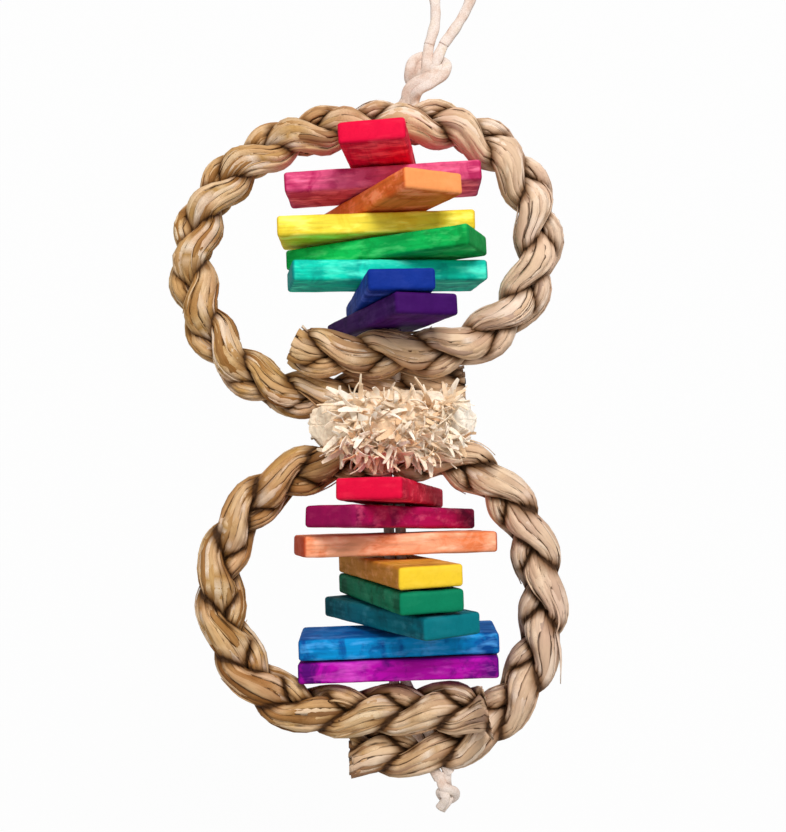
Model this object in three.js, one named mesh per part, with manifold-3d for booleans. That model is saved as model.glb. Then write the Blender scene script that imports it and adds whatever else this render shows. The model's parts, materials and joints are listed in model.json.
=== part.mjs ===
// A hanging bird toy: two rings of plaited seagrass rope, each holding a stack of dyed wooden slats that are
// threaded on one doubled leather lace, with a wad of wood shavings squeezed between the rings.
// Millimetres, +Z up, seen from the front along +Y. The origin is the point of the loop that a hook bears on.
import * as THREE from 'three';
import { mergeVertices } from 'three/addons/utils/BufferGeometryUtils.js';
import Module from 'manifold-3d';

const wasm = await Module();
wasm.setup();

// Clearances
const CLEARANCE = 0.3;
const HOLE_PLAY = 0.6;
const TOP_ROOM = 1;
const BEND_GAP = 0.7;

// Slats
const SLAT_LENGTH = 58.5;
const SLAT_WIDTH = 19;
const SLAT_THICKNESS = 6.2;
const SLAT_BEVEL = 0.5;
const SLAT_CORNER = 0.7;

// Doubled lace
const LACE_DIAMETER = 3.2;

// Rope of three strands in a plait: strand radius, swing to each side, half depth of the crossings, and the
// length of rope in which a strand comes back to its side
const STRAND_RADIUS = 3.7;
const PLAIT_SWING = 3.3;
const PLAIT_DEPTH = 2;
const PLAIT_LENGTH = 51;

// Rings: room between the sweep of a slat and the rope, flat runs, free ends, the depth between layers and the
// angle by which the plait's outer edge is turned back
const UPPER_ROOM_RIGHT = 8.2;
const UPPER_ROOM_LEFT = 21.4;
const UPPER_FLAT_RUN = 12;
const UPPER_OUTER_FLAT_RUN = 22;
const UPPER_SEAT_ROOM = 0.6;
const UPPER_INNER_TAIL = 28;
const UPPER_OUTER_TAIL = 23;
const UPPER_SPLAY = 0;
const UPPER_LAYER_DEPTH = 9;
const UPPER_PLAIT_TURN = 35;
const LOWER_ROOM_RIGHT = 6.1;
const LOWER_ROOM_LEFT = 15;
const LOWER_FLAT_RUN = 20;
const LOWER_OUTER_FLAT_RUN = 5;
const LOWER_SEAT_ROOM = 2.8;
const LOWER_INNER_TAIL = 25;
const LOWER_OUTER_TAIL = 16;
const LOWER_SPLAY = 11;
const LOWER_LAYER_DEPTH = 5;
const LOWER_PLAIT_TURN = -35;
const TOP_FLAT_RUN = 9;

// Wad of shavings: half width, half depth, rise in front of the upper rope, drop in front of the lower rope,
// thickness left between each rope and the plane where the wad parts, squareness of its sides, and its tufts
const WAD_HALF_WIDTH = 26;
const WAD_HALF_DEPTH = 18;
const WAD_RISE = 11;
const WAD_DROP = 12.5;
const WAD_UPPER_THICKNESS = 2;
const WAD_LOWER_THICKNESS = 2.9;
const WAD_SQUARENESS = 2.8;
const WAD_TUFTS_ROUND = 11;
const WAD_TUFTS_UP = 5;
const WAD_TUFT_SHARE = 0.07;

// Knots, each a trefoil: lobe size, half depth of the crossings, strand radius
const TOP_KNOT_LOBE = 2.15;
const TOP_KNOT_DEPTH = 2.6;
const TOP_KNOT_STRAND = 2.05;
const BOTTOM_KNOT_LOBE = 1.45;
const BOTTOM_KNOT_DEPTH = 1.9;
const BOTTOM_KNOT_STRAND = 1.3;
const BOTTOM_TAIL = 1;

// Length of each foot of the hanging loop that is fused with the knot
const LOOP_FOOT = 8.2;

// Where the lace leaves the ropes: across from its line, and the lean of the top knot
const TOP_EXIT = 9.4;
const TOP_LEAN = 36;
const BOTTOM_EXIT = 12.3;

// Hanging loop from the middle of the top knot: across and up
const LOOP_ROUTE = [
  [-0.6, 1.5], [-0.2, 6], [0.7, 9.7], [1.8, 13], [2.7, 16], [3.1, 19.5], [3.0, 24], [2.4, 29], [1.7, 34],
  [1.2, 39], [2.1, 44.5], [4.9, 48.9], [8.8, 50.6], [12.7, 48.9], [15.5, 44.5], [16.4, 39], [15.9, 34],
  [15.2, 29], [14.0, 24], [12.2, 20], [9.7, 16], [7.2, 12.6], [5.0, 9.6], [3.9, 6], [3.3, 1.5],
];

// Slats from the top down. Angles in degrees: turn about the lace, then roll about Y, then lean about X.
// A slat whose hole isn't in its middle has a shift along its length.
const UPPER_SLATS = [
  { name: 'red', colour: 0xf0053c, turn: 85, roll: -1, lean: -1.8 },
  { name: 'pink', colour: 0xd94a74, turn: 0, roll: -1.8, lean: -1.8 },
  { name: 'orange', colour: 0xf0793a, turn: -60, roll: -1.1, lean: -1.8 },
  { name: 'yellow', colour: 0xfbe94a, turn: 1, roll: -0.2, lean: -2, shift: -2.6 },
  { name: 'green', colour: 0x0bb350, turn: -21, roll: -1.3, lean: -1.9 },
  { name: 'turquoise', colour: 0x06d2b0, turn: 11, roll: -0.4, lean: -2 },
  { name: 'blue', colour: 0x0a36a0, turn: -81, roll: -0.9, lean: -1.8 },
  { name: 'purple', colour: 0x4a0a70, turn: -67, roll: -0.6, lean: -1.8 },
];
const LOWER_SLATS = [
  { name: 'red', colour: 0xe8083c, turn: 77, roll: 1.5, lean: -5.5 },
  { name: 'magenta', colour: 0xa8084e, turn: 52, roll: 1.8, lean: -4.6 },
  { name: 'orange', colour: 0xf59062, turn: 15, roll: 0.8, lean: -2.6 },
  { name: 'yellow', colour: 0xf5c82a, turn: -70, roll: 0.5, lean: -0.8 },
  { name: 'green', colour: 0x047a52, turn: -70, roll: 0.5, lean: -0.4 },
  { name: 'teal', colour: 0x04747c, turn: -58, roll: 0.2, lean: 0.3 },
  { name: 'blue', colour: 0x0a78c2, turn: 1, roll: -0.2, lean: 2.6 },
  { name: 'violet', colour: 0xa000a0, turn: -2, roll: -0.5, lean: 1.8 },
];

// Fineness of the round forms
const ROPE_POINTS = 16;
const ROPE_STEP = 3.2;
const HOLE_POINTS = 16;
const LACE_SIDES = 8;
const LACE_STEPS_A_POINT = 2;
const LOOP_STEPS = 40;
const FOOT_STEPS = 3;
const PART_POINTS = 25;
const KNOT_STEPS = 45;
const KNOT_SIDES = 6;
const WAD_ACROSS = 44;
const WAD_DOWN = 18;
const ENVELOPE_SIDES = 16;
const SHORTEST_EDGE = 0.01;

// Worked out from the sizes above
const LACE_RADIUS = LACE_DIAMETER / 2;
const LEG_OFFSET = LACE_RADIUS + CLEARANCE / 2;
const HOLE_RADIUS = LEG_OFFSET + LACE_RADIUS + HOLE_PLAY;
const SWEEP_RADIUS = Math.hypot(SLAT_LENGTH, SLAT_WIDTH) / 2;
const ROPE_RADIUS = STRAND_RADIUS + PLAIT_SWING;
const layerStep = (depth) => Math.sqrt((2 * ROPE_RADIUS + CLEARANCE) ** 2 - depth ** 2);
const STRANDS = 3;
const QUARTER = Math.PI / 2;
const FULL = 2 * Math.PI;
const degrees = THREE.MathUtils.degToRad;

const tilt = (slat) => new THREE.Euler(degrees(slat.lean), degrees(slat.roll), degrees(slat.turn));
const normalOf = (slat) => new THREE.Vector3(0, 0, 1).applyEuler(tilt(slat));

// Heights of slat centres below the top of a stack, spaced so that each slat can turn right round
// without touching its tilted neighbours
function stackOf(slats) {
  const halfHeight = (slat) => SLAT_THICKNESS / 2 / normalOf(slat).z;
  const depths = [];
  let depth = 0;
  slats.forEach((slat, i) => {
    if (i > 0) {
      const between = normalOf(slat).angleTo(normalOf(slats[i - 1]));
      depth += CLEARANCE + SWEEP_RADIUS * Math.tan(between);
    }
    depth += halfHeight(slat);
    depths.push(depth);
    depth += halfHeight(slat);
  });
  return { depths, height: depth };
}

const upperStack = stackOf(UPPER_SLATS);
const lowerStack = stackOf(LOWER_SLATS);

// Heights of the rope centre lines at the lace, with the top of the upper ring at zero
const upperTopZ = 0;
const upperStackZ = upperTopZ - ROPE_RADIUS - TOP_ROOM;
const upperInnerZ = upperStackZ - upperStack.height - UPPER_SEAT_ROOM - ROPE_RADIUS;
const upperOuterZ = upperInnerZ - layerStep(UPPER_LAYER_DEPTH);
const twistZ = upperOuterZ - ROPE_RADIUS - CLEARANCE - WAD_UPPER_THICKNESS;
const lowerTopZ = twistZ - WAD_LOWER_THICKNESS - CLEARANCE - ROPE_RADIUS;
const lowerStackZ = lowerTopZ - ROPE_RADIUS - TOP_ROOM;
const lowerInnerZ = lowerStackZ - lowerStack.height - LOWER_SEAT_ROOM - ROPE_RADIUS;
const lowerOuterZ = lowerInnerZ - layerStep(LOWER_LAYER_DEPTH);
const swingZ = twistZ - WAD_LOWER_THICKNESS / 2 - CLEARANCE;

// Materials
const material = (color, roughness) => new THREE.MeshStandardMaterial({ color, roughness, metalness: 0 });
const LEATHER = material(0xf0dfd0, 0.7);
const SEAGRASS = material(0xc9a57a, 0.85);
const SHAVINGS = material(0xf2ddb8, 0.9);
const DYED_WOOD_ROUGHNESS = 0.6;

const toy = new THREE.Group();

function addPiece(name, geometry, look) {
  const mesh = new THREE.Mesh(geometry, look);
  mesh.name = name;
  toy.add(mesh);
  return mesh;
}

// Solids for cuts and joins
function solidFrom(geometry) {
  const bare = geometry.clone();
  bare.deleteAttribute('normal');
  bare.deleteAttribute('uv');
  const merged = mergeVertices(bare, 1e-4);
  return new wasm.Manifold(new wasm.Mesh({
    numProp: 3,
    vertProperties: merged.attributes.position.array,
    triVerts: new Uint32Array(merged.index.array),
  }));
}

function geometryFrom(solid) {
  const { vertProperties, triVerts } = solid.simplify(SHORTEST_EDGE).getMesh();
  const geometry = new THREE.BufferGeometry();
  geometry.setAttribute('position', new THREE.BufferAttribute(vertProperties, 3));
  geometry.setIndex(new THREE.BufferAttribute(triVerts, 1));
  geometry.computeVertexNormals();
  return geometry;
}

// The largest body that is left of a piece cut by others
function trimmedBy(geometry, tools) {
  const left = tools.reduce((solid, tool) => solid.subtract(solidFrom(tool)), solidFrom(geometry)).decompose();
  left.sort((a, b) => b.volume() - a.volume());
  return geometryFrom(left[0]);
}

// A closed surface through a row of sections with equal point counts: capped at its ends, or joined into a ring
function loft(sections, ring = false) {
  const sides = sections[0].length;
  const vertices = sections.flat();
  const index = [];
  const last = ring ? sections.length : sections.length - 1;
  for (let i = 0; i < last; i += 1) {
    const here = i * sides;
    const next = ((i + 1) % sections.length) * sides;
    for (let k = 0; k < sides; k += 1) {
      const beside = (k + 1) % sides;
      index.push(here + k, here + beside, next + k);
      index.push(here + beside, next + beside, next + k);
    }
  }
  if (!ring) {
    const middle = (section) => section
      .reduce((sum, p) => sum.add(p), new THREE.Vector3())
      .divideScalar(sides);
    const start = vertices.push(middle(sections[0])) - 1;
    const end = vertices.push(middle(sections.at(-1))) - 1;
    const lastRow = (sections.length - 1) * sides;
    for (let k = 0; k < sides; k += 1) {
      const beside = (k + 1) % sides;
      index.push(start, beside, k);
      index.push(end, lastRow + k, lastRow + beside);
    }
  }
  const geometry = new THREE.BufferGeometry().setFromPoints(vertices);
  geometry.setIndex(index);
  geometry.computeVertexNormals();
  return geometry;
}

// A round tube with flat ends along a smooth curve
function tubeAlong(curve, radius, steps, sides = LACE_SIDES) {
  const section = new THREE.Shape();
  for (let k = 0; k < sides; k += 1) {
    const angle = (FULL * k) / sides;
    const x = radius * Math.cos(angle);
    const y = radius * Math.sin(angle);
    if (k === 0) section.moveTo(x, y);
    else section.lineTo(x, y);
  }
  return new THREE.ExtrudeGeometry(section, { steps, extrudePath: curve, bevelEnabled: false });
}

// Rope ring: once round from the inner free end, over the top, to the outer free end behind it.
// The first half reaches to +X and the second to -X; a mirrored ring swaps them and the way the plait points.
function ringRoute(ring) {
  const { topZ, innerZ, outerZ, firstReach, secondReach, flatRun, outerFlatRun, innerTail, outerTail } = ring;
  const firstHalf = (topZ - innerZ) / 2;
  const secondHalf = (topZ - outerZ) / 2;
  const firstMid = topZ - firstHalf;
  const secondMid = topZ - secondHalf;
  const tailAngle = Math.asin(Math.min(1, (innerTail - flatRun) / (firstReach - flatRun)));
  const route = new THREE.Path();
  route.absellipse(-flatRun, firstMid, firstReach - flatRun, firstHalf, 3 * QUARTER - tailAngle, 3 * QUARTER);
  route.lineTo(flatRun, innerZ);
  route.absellipse(flatRun, firstMid, firstReach - flatRun, firstHalf, 3 * QUARTER, FULL);
  route.absellipse(TOP_FLAT_RUN, firstMid, firstReach - TOP_FLAT_RUN, firstHalf, 0, QUARTER);
  route.lineTo(-TOP_FLAT_RUN, topZ);
  route.absellipse(-TOP_FLAT_RUN, secondMid, secondReach - TOP_FLAT_RUN, secondHalf, QUARTER, 2 * QUARTER);
  route.absellipse(
    -outerFlatRun,
    secondMid,
    secondReach - outerFlatRun,
    secondHalf,
    2 * QUARTER,
    3 * QUARTER,
  );
  route.lineTo(outerTail, outerZ);
  return route;
}

// Points of the centre line, with the inner layer in front, the outer layer behind and the inner end splayed
function ringCentres(ring, step) {
  const route = ringRoute(ring);
  const lengths = route.getCurveLengths();
  const [tail, bottomRun] = lengths;
  const outerStart = lengths.at(-2);
  const total = lengths.at(-1);
  const count = Math.round(total / step);
  return route.getSpacedPoints(count).map((p, i) => {
    const along = (total * i) / count;
    const back = THREE.MathUtils.smoothstep(along, bottomRun, outerStart);
    const splay = ring.splay * Math.max(0, 1 - along / tail) ** 2;
    return new THREE.Vector3(p.x, ring.layerDepth * (back - 0.5) - splay, p.y);
  });
}

// Sections square to the centre line: reach gives the distance out at an angle and a place along the rope
function ringSections(ring, step, points, reach) {
  const centres = ringCentres(ring, step);
  const facing = new THREE.Vector3(0, 1, 0);
  let along = 0;
  return centres.map((centre, i) => {
    const before = centres[Math.max(0, i - 1)];
    const after = centres[Math.min(centres.length - 1, i + 1)];
    along += i > 0 ? centre.distanceTo(before) : 0;
    const tangent = after.clone().sub(before).normalize();
    const outward = facing.clone().cross(tangent).normalize();
    const across = tangent.clone().cross(outward);
    return Array.from({ length: points }, (_, k) => {
      const angle = (FULL * k) / points;
      const out = reach(angle, along);
      return centre.clone()
        .addScaledVector(outward, out * Math.cos(angle))
        .addScaledVector(across, out * Math.sin(angle));
    });
  });
}

// Outline of the plait: each strand swings from side to side, and passes over one neighbour and under the other
function plaitReach(ring) {
  const crossing = ring.mirror ? -PLAIT_DEPTH : PLAIT_DEPTH;
  return (angle, along) => {
    const toward = angle - degrees(ring.plaitTurn);
    const reaches = Array.from({ length: STRANDS }, (_, i) => {
      const phase = FULL * (along / PLAIT_LENGTH + i / STRANDS);
      const side = PLAIT_SWING * Math.sin(phase);
      const depth = crossing * Math.sin(2 * phase);
      const ahead = side * Math.cos(toward) + depth * Math.sin(toward);
      return ahead + Math.sqrt(STRAND_RADIUS ** 2 - side ** 2 - depth ** 2 + ahead ** 2);
    });
    return Math.max(...reaches);
  };
}

// The mirror image across X, with its faces turned back outwards
function mirrored(geometry) {
  const index = geometry.index.array;
  for (let i = 0; i < index.length; i += 3) {
    [index[i + 1], index[i + 2]] = [index[i + 2], index[i + 1]];
  }
  return geometry.scale(-1, 1, 1);
}

const handed = (ring, geometry) => (ring.mirror ? mirrored(geometry) : geometry);
const ropeOf = (ring) => handed(
  ring,
  loft(ringSections(ring, ROPE_STEP, ROPE_POINTS, plaitReach(ring))),
);

// The room that the rope takes with its clearance, as a plain round tube
function ropeRoom(ring) {
  const round = (ROPE_RADIUS + CLEARANCE) / Math.cos(Math.PI / ENVELOPE_SIDES);
  return handed(ring, loft(ringSections(ring, ROPE_STEP, ENVELOPE_SIDES, () => round)));
}

const upperRing = {
  mirror: false,
  topZ: upperTopZ,
  innerZ: upperInnerZ,
  outerZ: upperOuterZ,
  firstReach: SWEEP_RADIUS + UPPER_ROOM_RIGHT + ROPE_RADIUS,
  secondReach: SWEEP_RADIUS + UPPER_ROOM_LEFT + ROPE_RADIUS,
  flatRun: UPPER_FLAT_RUN,
  outerFlatRun: UPPER_OUTER_FLAT_RUN,
  innerTail: UPPER_INNER_TAIL,
  outerTail: UPPER_OUTER_TAIL,
  splay: UPPER_SPLAY,
  layerDepth: UPPER_LAYER_DEPTH,
  plaitTurn: UPPER_PLAIT_TURN,
};
const lowerRing = {
  mirror: true,
  topZ: lowerTopZ,
  innerZ: lowerInnerZ,
  outerZ: lowerOuterZ,
  firstReach: SWEEP_RADIUS + LOWER_ROOM_LEFT + ROPE_RADIUS,
  secondReach: SWEEP_RADIUS + LOWER_ROOM_RIGHT + ROPE_RADIUS,
  flatRun: LOWER_FLAT_RUN,
  outerFlatRun: LOWER_OUTER_FLAT_RUN,
  innerTail: LOWER_INNER_TAIL,
  outerTail: LOWER_OUTER_TAIL,
  splay: LOWER_SPLAY,
  layerDepth: LOWER_LAYER_DEPTH,
  plaitTurn: LOWER_PLAIT_TURN,
};

// Knots, each a closed trefoil of lace; across turns its flat side about Z, and roll turns it in its own plane
function trefoil(lobe, depth, strand, across, roll) {
  const place = new THREE.Euler(0, roll, across, 'ZYX');
  const point = (t) => new THREE.Vector3(
    lobe * (Math.sin(t) + 2 * Math.sin(2 * t)),
    -depth * Math.sin(3 * t),
    lobe * (Math.cos(t) - 2 * Math.cos(2 * t)),
  );
  const slope = (t) => new THREE.Vector3(
    lobe * (Math.cos(t) + 4 * Math.cos(2 * t)),
    -3 * depth * Math.cos(3 * t),
    lobe * (4 * Math.sin(2 * t) - Math.sin(t)),
  );
  const sections = Array.from({ length: KNOT_STEPS }, (_, i) => {
    const t = (FULL * i) / KNOT_STEPS;
    const tangent = slope(t).normalize();
    const side = new THREE.Vector3(0, 1, 0).cross(tangent).normalize();
    const rise = tangent.clone().cross(side);
    return Array.from({ length: KNOT_SIDES }, (__, k) => {
      const angle = (FULL * k) / KNOT_SIDES;
      return point(t)
        .addScaledVector(side, strand * Math.cos(angle))
        .addScaledVector(rise, strand * Math.sin(angle))
        .applyEuler(place);
    });
  });
  return loft(sections, true);
}

const trefoilReach = (lobe, strand) => 3 * lobe + strand;
const heading = new THREE.Vector3(Math.sin(degrees(TOP_LEAN)), 0, Math.cos(degrees(TOP_LEAN)));
const topExit = new THREE.Vector3(TOP_EXIT, 0, upperTopZ + ROPE_RADIUS + CLEARANCE);
const topKnotCentre = topExit.clone()
  .addScaledVector(heading, trefoilReach(TOP_KNOT_LOBE, TOP_KNOT_STRAND) + CLEARANCE);
const bottomExit = new THREE.Vector3(BOTTOM_EXIT, 0, lowerOuterZ - ROPE_RADIUS - CLEARANCE);
const bottomKnotCentre = bottomExit.clone();
bottomKnotCentre.z -= trefoilReach(BOTTOM_KNOT_LOBE, BOTTOM_KNOT_STRAND) + CLEARANCE;

// A stretch of a curve between two lengths along it
function partOf(curve, from, to) {
  const length = curve.getLength();
  const shares = Array.from({ length: PART_POINTS }, (_, i) => i / (PART_POINTS - 1));
  return new THREE.CatmullRomCurve3(
    shares.map((share) => curve.getPointAt(THREE.MathUtils.lerp(from, to, share) / length)),
  );
}

// Hanging loop, from inside the knot up over the hook and back; its first and last stretches belong to the knot
const loopPoints = LOOP_ROUTE.map(([x, z]) => new THREE.Vector3(x, 0, z).add(topKnotCentre));
const loopCurve = new THREE.CatmullRomCurve3(loopPoints);
const loopLength = loopCurve.getLength();
const crown = loopPoints.reduce((highest, p) => (p.z > highest.z ? p : highest));

const joined = (first, ...others) => geometryFrom(
  others.reduce((solid, other) => solid.add(solidFrom(other)), solidFrom(first)),
);

function topKnotGeometry() {
  const knot = trefoil(TOP_KNOT_LOBE, TOP_KNOT_DEPTH, TOP_KNOT_STRAND, 0, degrees(TOP_LEAN));
  const leftFoot = partOf(loopCurve, 0, LOOP_FOOT);
  const rightFoot = partOf(loopCurve, loopLength - LOOP_FOOT, loopLength);
  return joined(
    knot.translate(...topKnotCentre),
    tubeAlong(leftFoot, LACE_RADIUS, FOOT_STEPS),
    tubeAlong(rightFoot, LACE_RADIUS, FOOT_STEPS),
  );
}

function bottomKnotGeometry() {
  const knot = trefoil(BOTTOM_KNOT_LOBE, BOTTOM_KNOT_DEPTH, BOTTOM_KNOT_STRAND, QUARTER, Math.PI);
  const reach = trefoilReach(BOTTOM_KNOT_LOBE, BOTTOM_KNOT_STRAND);
  const tail = new THREE.LineCurve3(new THREE.Vector3(), new THREE.Vector3(0, 0, -reach - BOTTOM_TAIL));
  return joined(knot, tubeAlong(tail, LACE_RADIUS, 1)).translate(...bottomKnotCentre);
}

// Lace: the route of the pair as points across and up, with one leg on each side of it
const straightDown = (fromZ, toZ) => [0, 0.1, 0.5, 0.9, 1]
  .map((share) => [0, THREE.MathUtils.lerp(fromZ, toZ, share)]);
const upperLaceRoute = [
  [topExit.x, topExit.z],
  [TOP_EXIT / 2, upperTopZ],
  [TOP_EXIT / 8, upperTopZ - 0.6 * ROPE_RADIUS],
  ...straightDown(upperTopZ - ROPE_RADIUS, twistZ + CLEARANCE / 2),
];
const wadLaceRoute = straightDown(upperOuterZ, lowerTopZ);
const linkLaceRoute = straightDown(twistZ - CLEARANCE / 2, swingZ + BEND_GAP / 2);
const lowerLaceRoute = [
  ...straightDown(swingZ - BEND_GAP / 2, lowerInnerZ + ROPE_RADIUS),
  [BOTTOM_EXIT / 4, lowerInnerZ],
  [0.7 * BOTTOM_EXIT, lowerOuterZ],
  [bottomExit.x, bottomExit.z],
];

function legAlong(route, side) {
  const points = route.map(([x, z]) => new THREE.Vector3(x, 0, z));
  const middle = new THREE.CatmullRomCurve3(points);
  return new THREE.CatmullRomCurve3(points.map((p, i) => {
    const tangent = middle.getTangent(i / (points.length - 1));
    const across = new THREE.Vector3(-tangent.z, 0, tangent.x);
    return p.clone().addScaledVector(across, side * LEG_OFFSET);
  }));
}

const legOf = (route, side, radius = LACE_RADIUS) => tubeAlong(
  legAlong(route, side),
  radius,
  LACE_STEPS_A_POINT * (route.length - 1),
);
const channelOf = (route) => [-1, 1].map((side) => legOf(route, side, LACE_RADIUS + CLEARANCE));

// Wad of shavings: a tufted block with round sides, parted at the twist plane and pressed round the ropes
function wadHalf(rise, ring) {
  const up = Math.sign(rise);
  const form = new THREE.SphereGeometry(1, WAD_ACROSS, WAD_DOWN).rotateX(QUARTER);
  const size = new THREE.Vector3(WAD_HALF_WIDTH, WAD_HALF_DEPTH, Math.abs(rise));
  const at = form.attributes.position;
  const point = new THREE.Vector3();
  for (let i = 0; i < at.count; i += 1) {
    point.fromBufferAttribute(at, i);
    const out = Math.hypot(point.x, point.y);
    const squared = out ** WAD_SQUARENESS + Math.abs(point.z) ** WAD_SQUARENESS;
    const round = Math.cos(WAD_TUFTS_ROUND * Math.atan2(point.y, point.x));
    const steep = Math.cos(WAD_TUFTS_UP * Math.asin(THREE.MathUtils.clamp(point.z, -1, 1)));
    const tuft = 1 + WAD_TUFT_SHARE * out * round * steep;
    point.multiplyScalar(tuft * squared ** (-1 / WAD_SQUARENESS)).multiply(size);
    at.setXYZ(i, point.x, point.y, point.z);
  }
  const beyond = new THREE.BoxGeometry(4 * WAD_HALF_WIDTH, 4 * WAD_HALF_DEPTH, 2 * Math.abs(rise));
  beyond.translate(0, 0, twistZ - up * (Math.abs(rise) - CLEARANCE / 2));
  form.translate(0, 0, twistZ);
  return trimmedBy(form, [beyond, ropeRoom(ring), ...channelOf(wadLaceRoute)]);
}

// Slats
function slatGeometry(shift = 0) {
  const halfLength = SLAT_LENGTH / 2 - SLAT_BEVEL;
  const halfWidth = SLAT_WIDTH / 2 - SLAT_BEVEL;
  const outline = new THREE.Shape([
    new THREE.Vector2(halfLength, halfWidth - SLAT_CORNER),
    new THREE.Vector2(halfLength - SLAT_CORNER, halfWidth),
    new THREE.Vector2(SLAT_CORNER - halfLength, halfWidth),
    new THREE.Vector2(-halfLength, halfWidth - SLAT_CORNER),
    new THREE.Vector2(-halfLength, SLAT_CORNER - halfWidth),
    new THREE.Vector2(SLAT_CORNER - halfLength, -halfWidth),
    new THREE.Vector2(halfLength - SLAT_CORNER, -halfWidth),
    new THREE.Vector2(halfLength, SLAT_CORNER - halfWidth),
  ]);
  const hole = new THREE.Path().absarc(-shift, 0, HOLE_RADIUS + SLAT_BEVEL, 0, FULL);
  outline.holes.push(hole);
  return new THREE.ExtrudeGeometry(outline, {
    depth: SLAT_THICKNESS - 2 * SLAT_BEVEL,
    bevelThickness: SLAT_BEVEL,
    bevelSize: SLAT_BEVEL,
    bevelSegments: 1,
    curveSegments: HOLE_POINTS / 2,
  }).translate(shift, 0, SLAT_BEVEL - SLAT_THICKNESS / 2);
}

function addStack(tier, slats, stack, stackZ) {
  slats.forEach((slat, i) => {
    const look = material(slat.colour, DYED_WOOD_ROUGHNESS);
    const mesh = addPiece(`${tier}_slat_${slat.name}`, slatGeometry(slat.shift), look);
    mesh.rotation.copy(tilt(slat));
    mesh.position.z = stackZ - stack.depths[i];
  });
}

// Assembly, from the top down
const freeLoop = partOf(loopCurve, LOOP_FOOT + CLEARANCE, loopLength - LOOP_FOOT - CLEARANCE);
addPiece('hang_loop', tubeAlong(freeLoop, LACE_RADIUS, LOOP_STEPS), LEATHER);
addPiece('top_knot', topKnotGeometry(), LEATHER);
addPiece('upper_lace_left', legOf(upperLaceRoute, -1), LEATHER);
addPiece('upper_lace_right', legOf(upperLaceRoute, 1), LEATHER);
addPiece('upper_ring', trimmedBy(ropeOf(upperRing), channelOf(upperLaceRoute)), SEAGRASS);
addStack('upper', UPPER_SLATS, upperStack, upperStackZ);
addPiece('shavings_upper', wadHalf(WAD_RISE, upperRing), SHAVINGS);
addPiece('shavings_lower', wadHalf(-WAD_DROP, lowerRing), SHAVINGS);
addPiece('link_lace_left', legOf(linkLaceRoute, -1), LEATHER);
addPiece('link_lace_right', legOf(linkLaceRoute, 1), LEATHER);
addPiece('lower_lace_left', legOf(lowerLaceRoute, -1), LEATHER);
addPiece('lower_lace_right', legOf(lowerLaceRoute, 1), LEATHER);
addPiece('lower_ring', trimmedBy(ropeOf(lowerRing), channelOf(lowerLaceRoute)), SEAGRASS);
addStack('lower', LOWER_SLATS, lowerStack, lowerStackZ);
addPiece('bottom_knot', bottomKnotGeometry(), LEATHER);

// The hook bears on the underside of the crown
toy.position.set(-crown.x, -crown.y, LACE_RADIUS - crown.z);

export default toy;
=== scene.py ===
# %% [markdown]
# # A hanging bird toy of seagrass rope and dyed wood
# Two rings of plaited seagrass rope hang one below the other on a doubled leather lace. Eight dyed wooden
# slats are threaded on the lace inside each ring, and a wad of wood shavings is squeezed between the rings.
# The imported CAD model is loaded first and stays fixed. Every piece made here is placed on it, in metres.

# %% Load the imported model
import json
import math

import bmesh
import bpy
import numpy as np
from mathutils import Matrix, Vector


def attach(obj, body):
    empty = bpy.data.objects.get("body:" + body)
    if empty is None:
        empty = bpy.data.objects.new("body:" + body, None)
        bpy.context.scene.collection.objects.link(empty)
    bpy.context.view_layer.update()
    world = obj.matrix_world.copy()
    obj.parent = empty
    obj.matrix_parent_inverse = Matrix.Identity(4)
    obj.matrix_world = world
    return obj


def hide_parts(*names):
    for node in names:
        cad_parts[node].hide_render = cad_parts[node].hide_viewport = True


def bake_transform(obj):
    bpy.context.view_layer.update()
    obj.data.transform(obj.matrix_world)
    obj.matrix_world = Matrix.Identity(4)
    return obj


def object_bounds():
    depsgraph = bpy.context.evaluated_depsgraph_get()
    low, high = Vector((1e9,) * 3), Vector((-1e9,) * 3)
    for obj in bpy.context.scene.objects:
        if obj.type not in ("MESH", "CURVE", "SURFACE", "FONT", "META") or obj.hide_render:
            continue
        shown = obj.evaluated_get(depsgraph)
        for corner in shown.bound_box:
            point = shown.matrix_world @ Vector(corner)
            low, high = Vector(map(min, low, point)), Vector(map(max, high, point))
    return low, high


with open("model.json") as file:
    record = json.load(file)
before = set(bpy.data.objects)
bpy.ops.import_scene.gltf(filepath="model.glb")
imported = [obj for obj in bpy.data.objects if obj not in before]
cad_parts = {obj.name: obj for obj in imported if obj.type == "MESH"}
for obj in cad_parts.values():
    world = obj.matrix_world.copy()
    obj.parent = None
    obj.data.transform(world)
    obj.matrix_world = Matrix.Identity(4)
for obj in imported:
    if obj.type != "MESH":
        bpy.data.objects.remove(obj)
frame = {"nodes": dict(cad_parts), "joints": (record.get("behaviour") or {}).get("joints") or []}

MM = 0.001
cad_box = [list(corner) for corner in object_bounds()]
joints = {joint["name"]: joint for joint in frame["joints"]}
lace_x, _, twist_z = joints["lower_twist"]["pos_m"]
size = [(high - low) / MM for low, high in zip(*cad_box)]
print("CAD box: %.1f x %.1f x %.1f mm" % tuple(size))

# %% [markdown]
# ## The camera
# The photograph is taken from in front, about 30 cm away, so the slats that point at the lens look large.
# The lens is worked out from the picture's own pixels, and the small roll makes the toy hang a little
# askew, as it does in the photograph.

# %% Set the camera
IMAGE_HEIGHT = 832
FOCAL_PIXELS = 1046
SENSOR = 36.0
CAMERA_AWAY = 315 * MM
CAMERA_RIGHT_OF_LACE = 0.6 * MM
CAMERA_HEIGHT = -163.4 * MM
LOOK_UP = math.radians(2.1)
ROLL = math.radians(-1.9)

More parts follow.
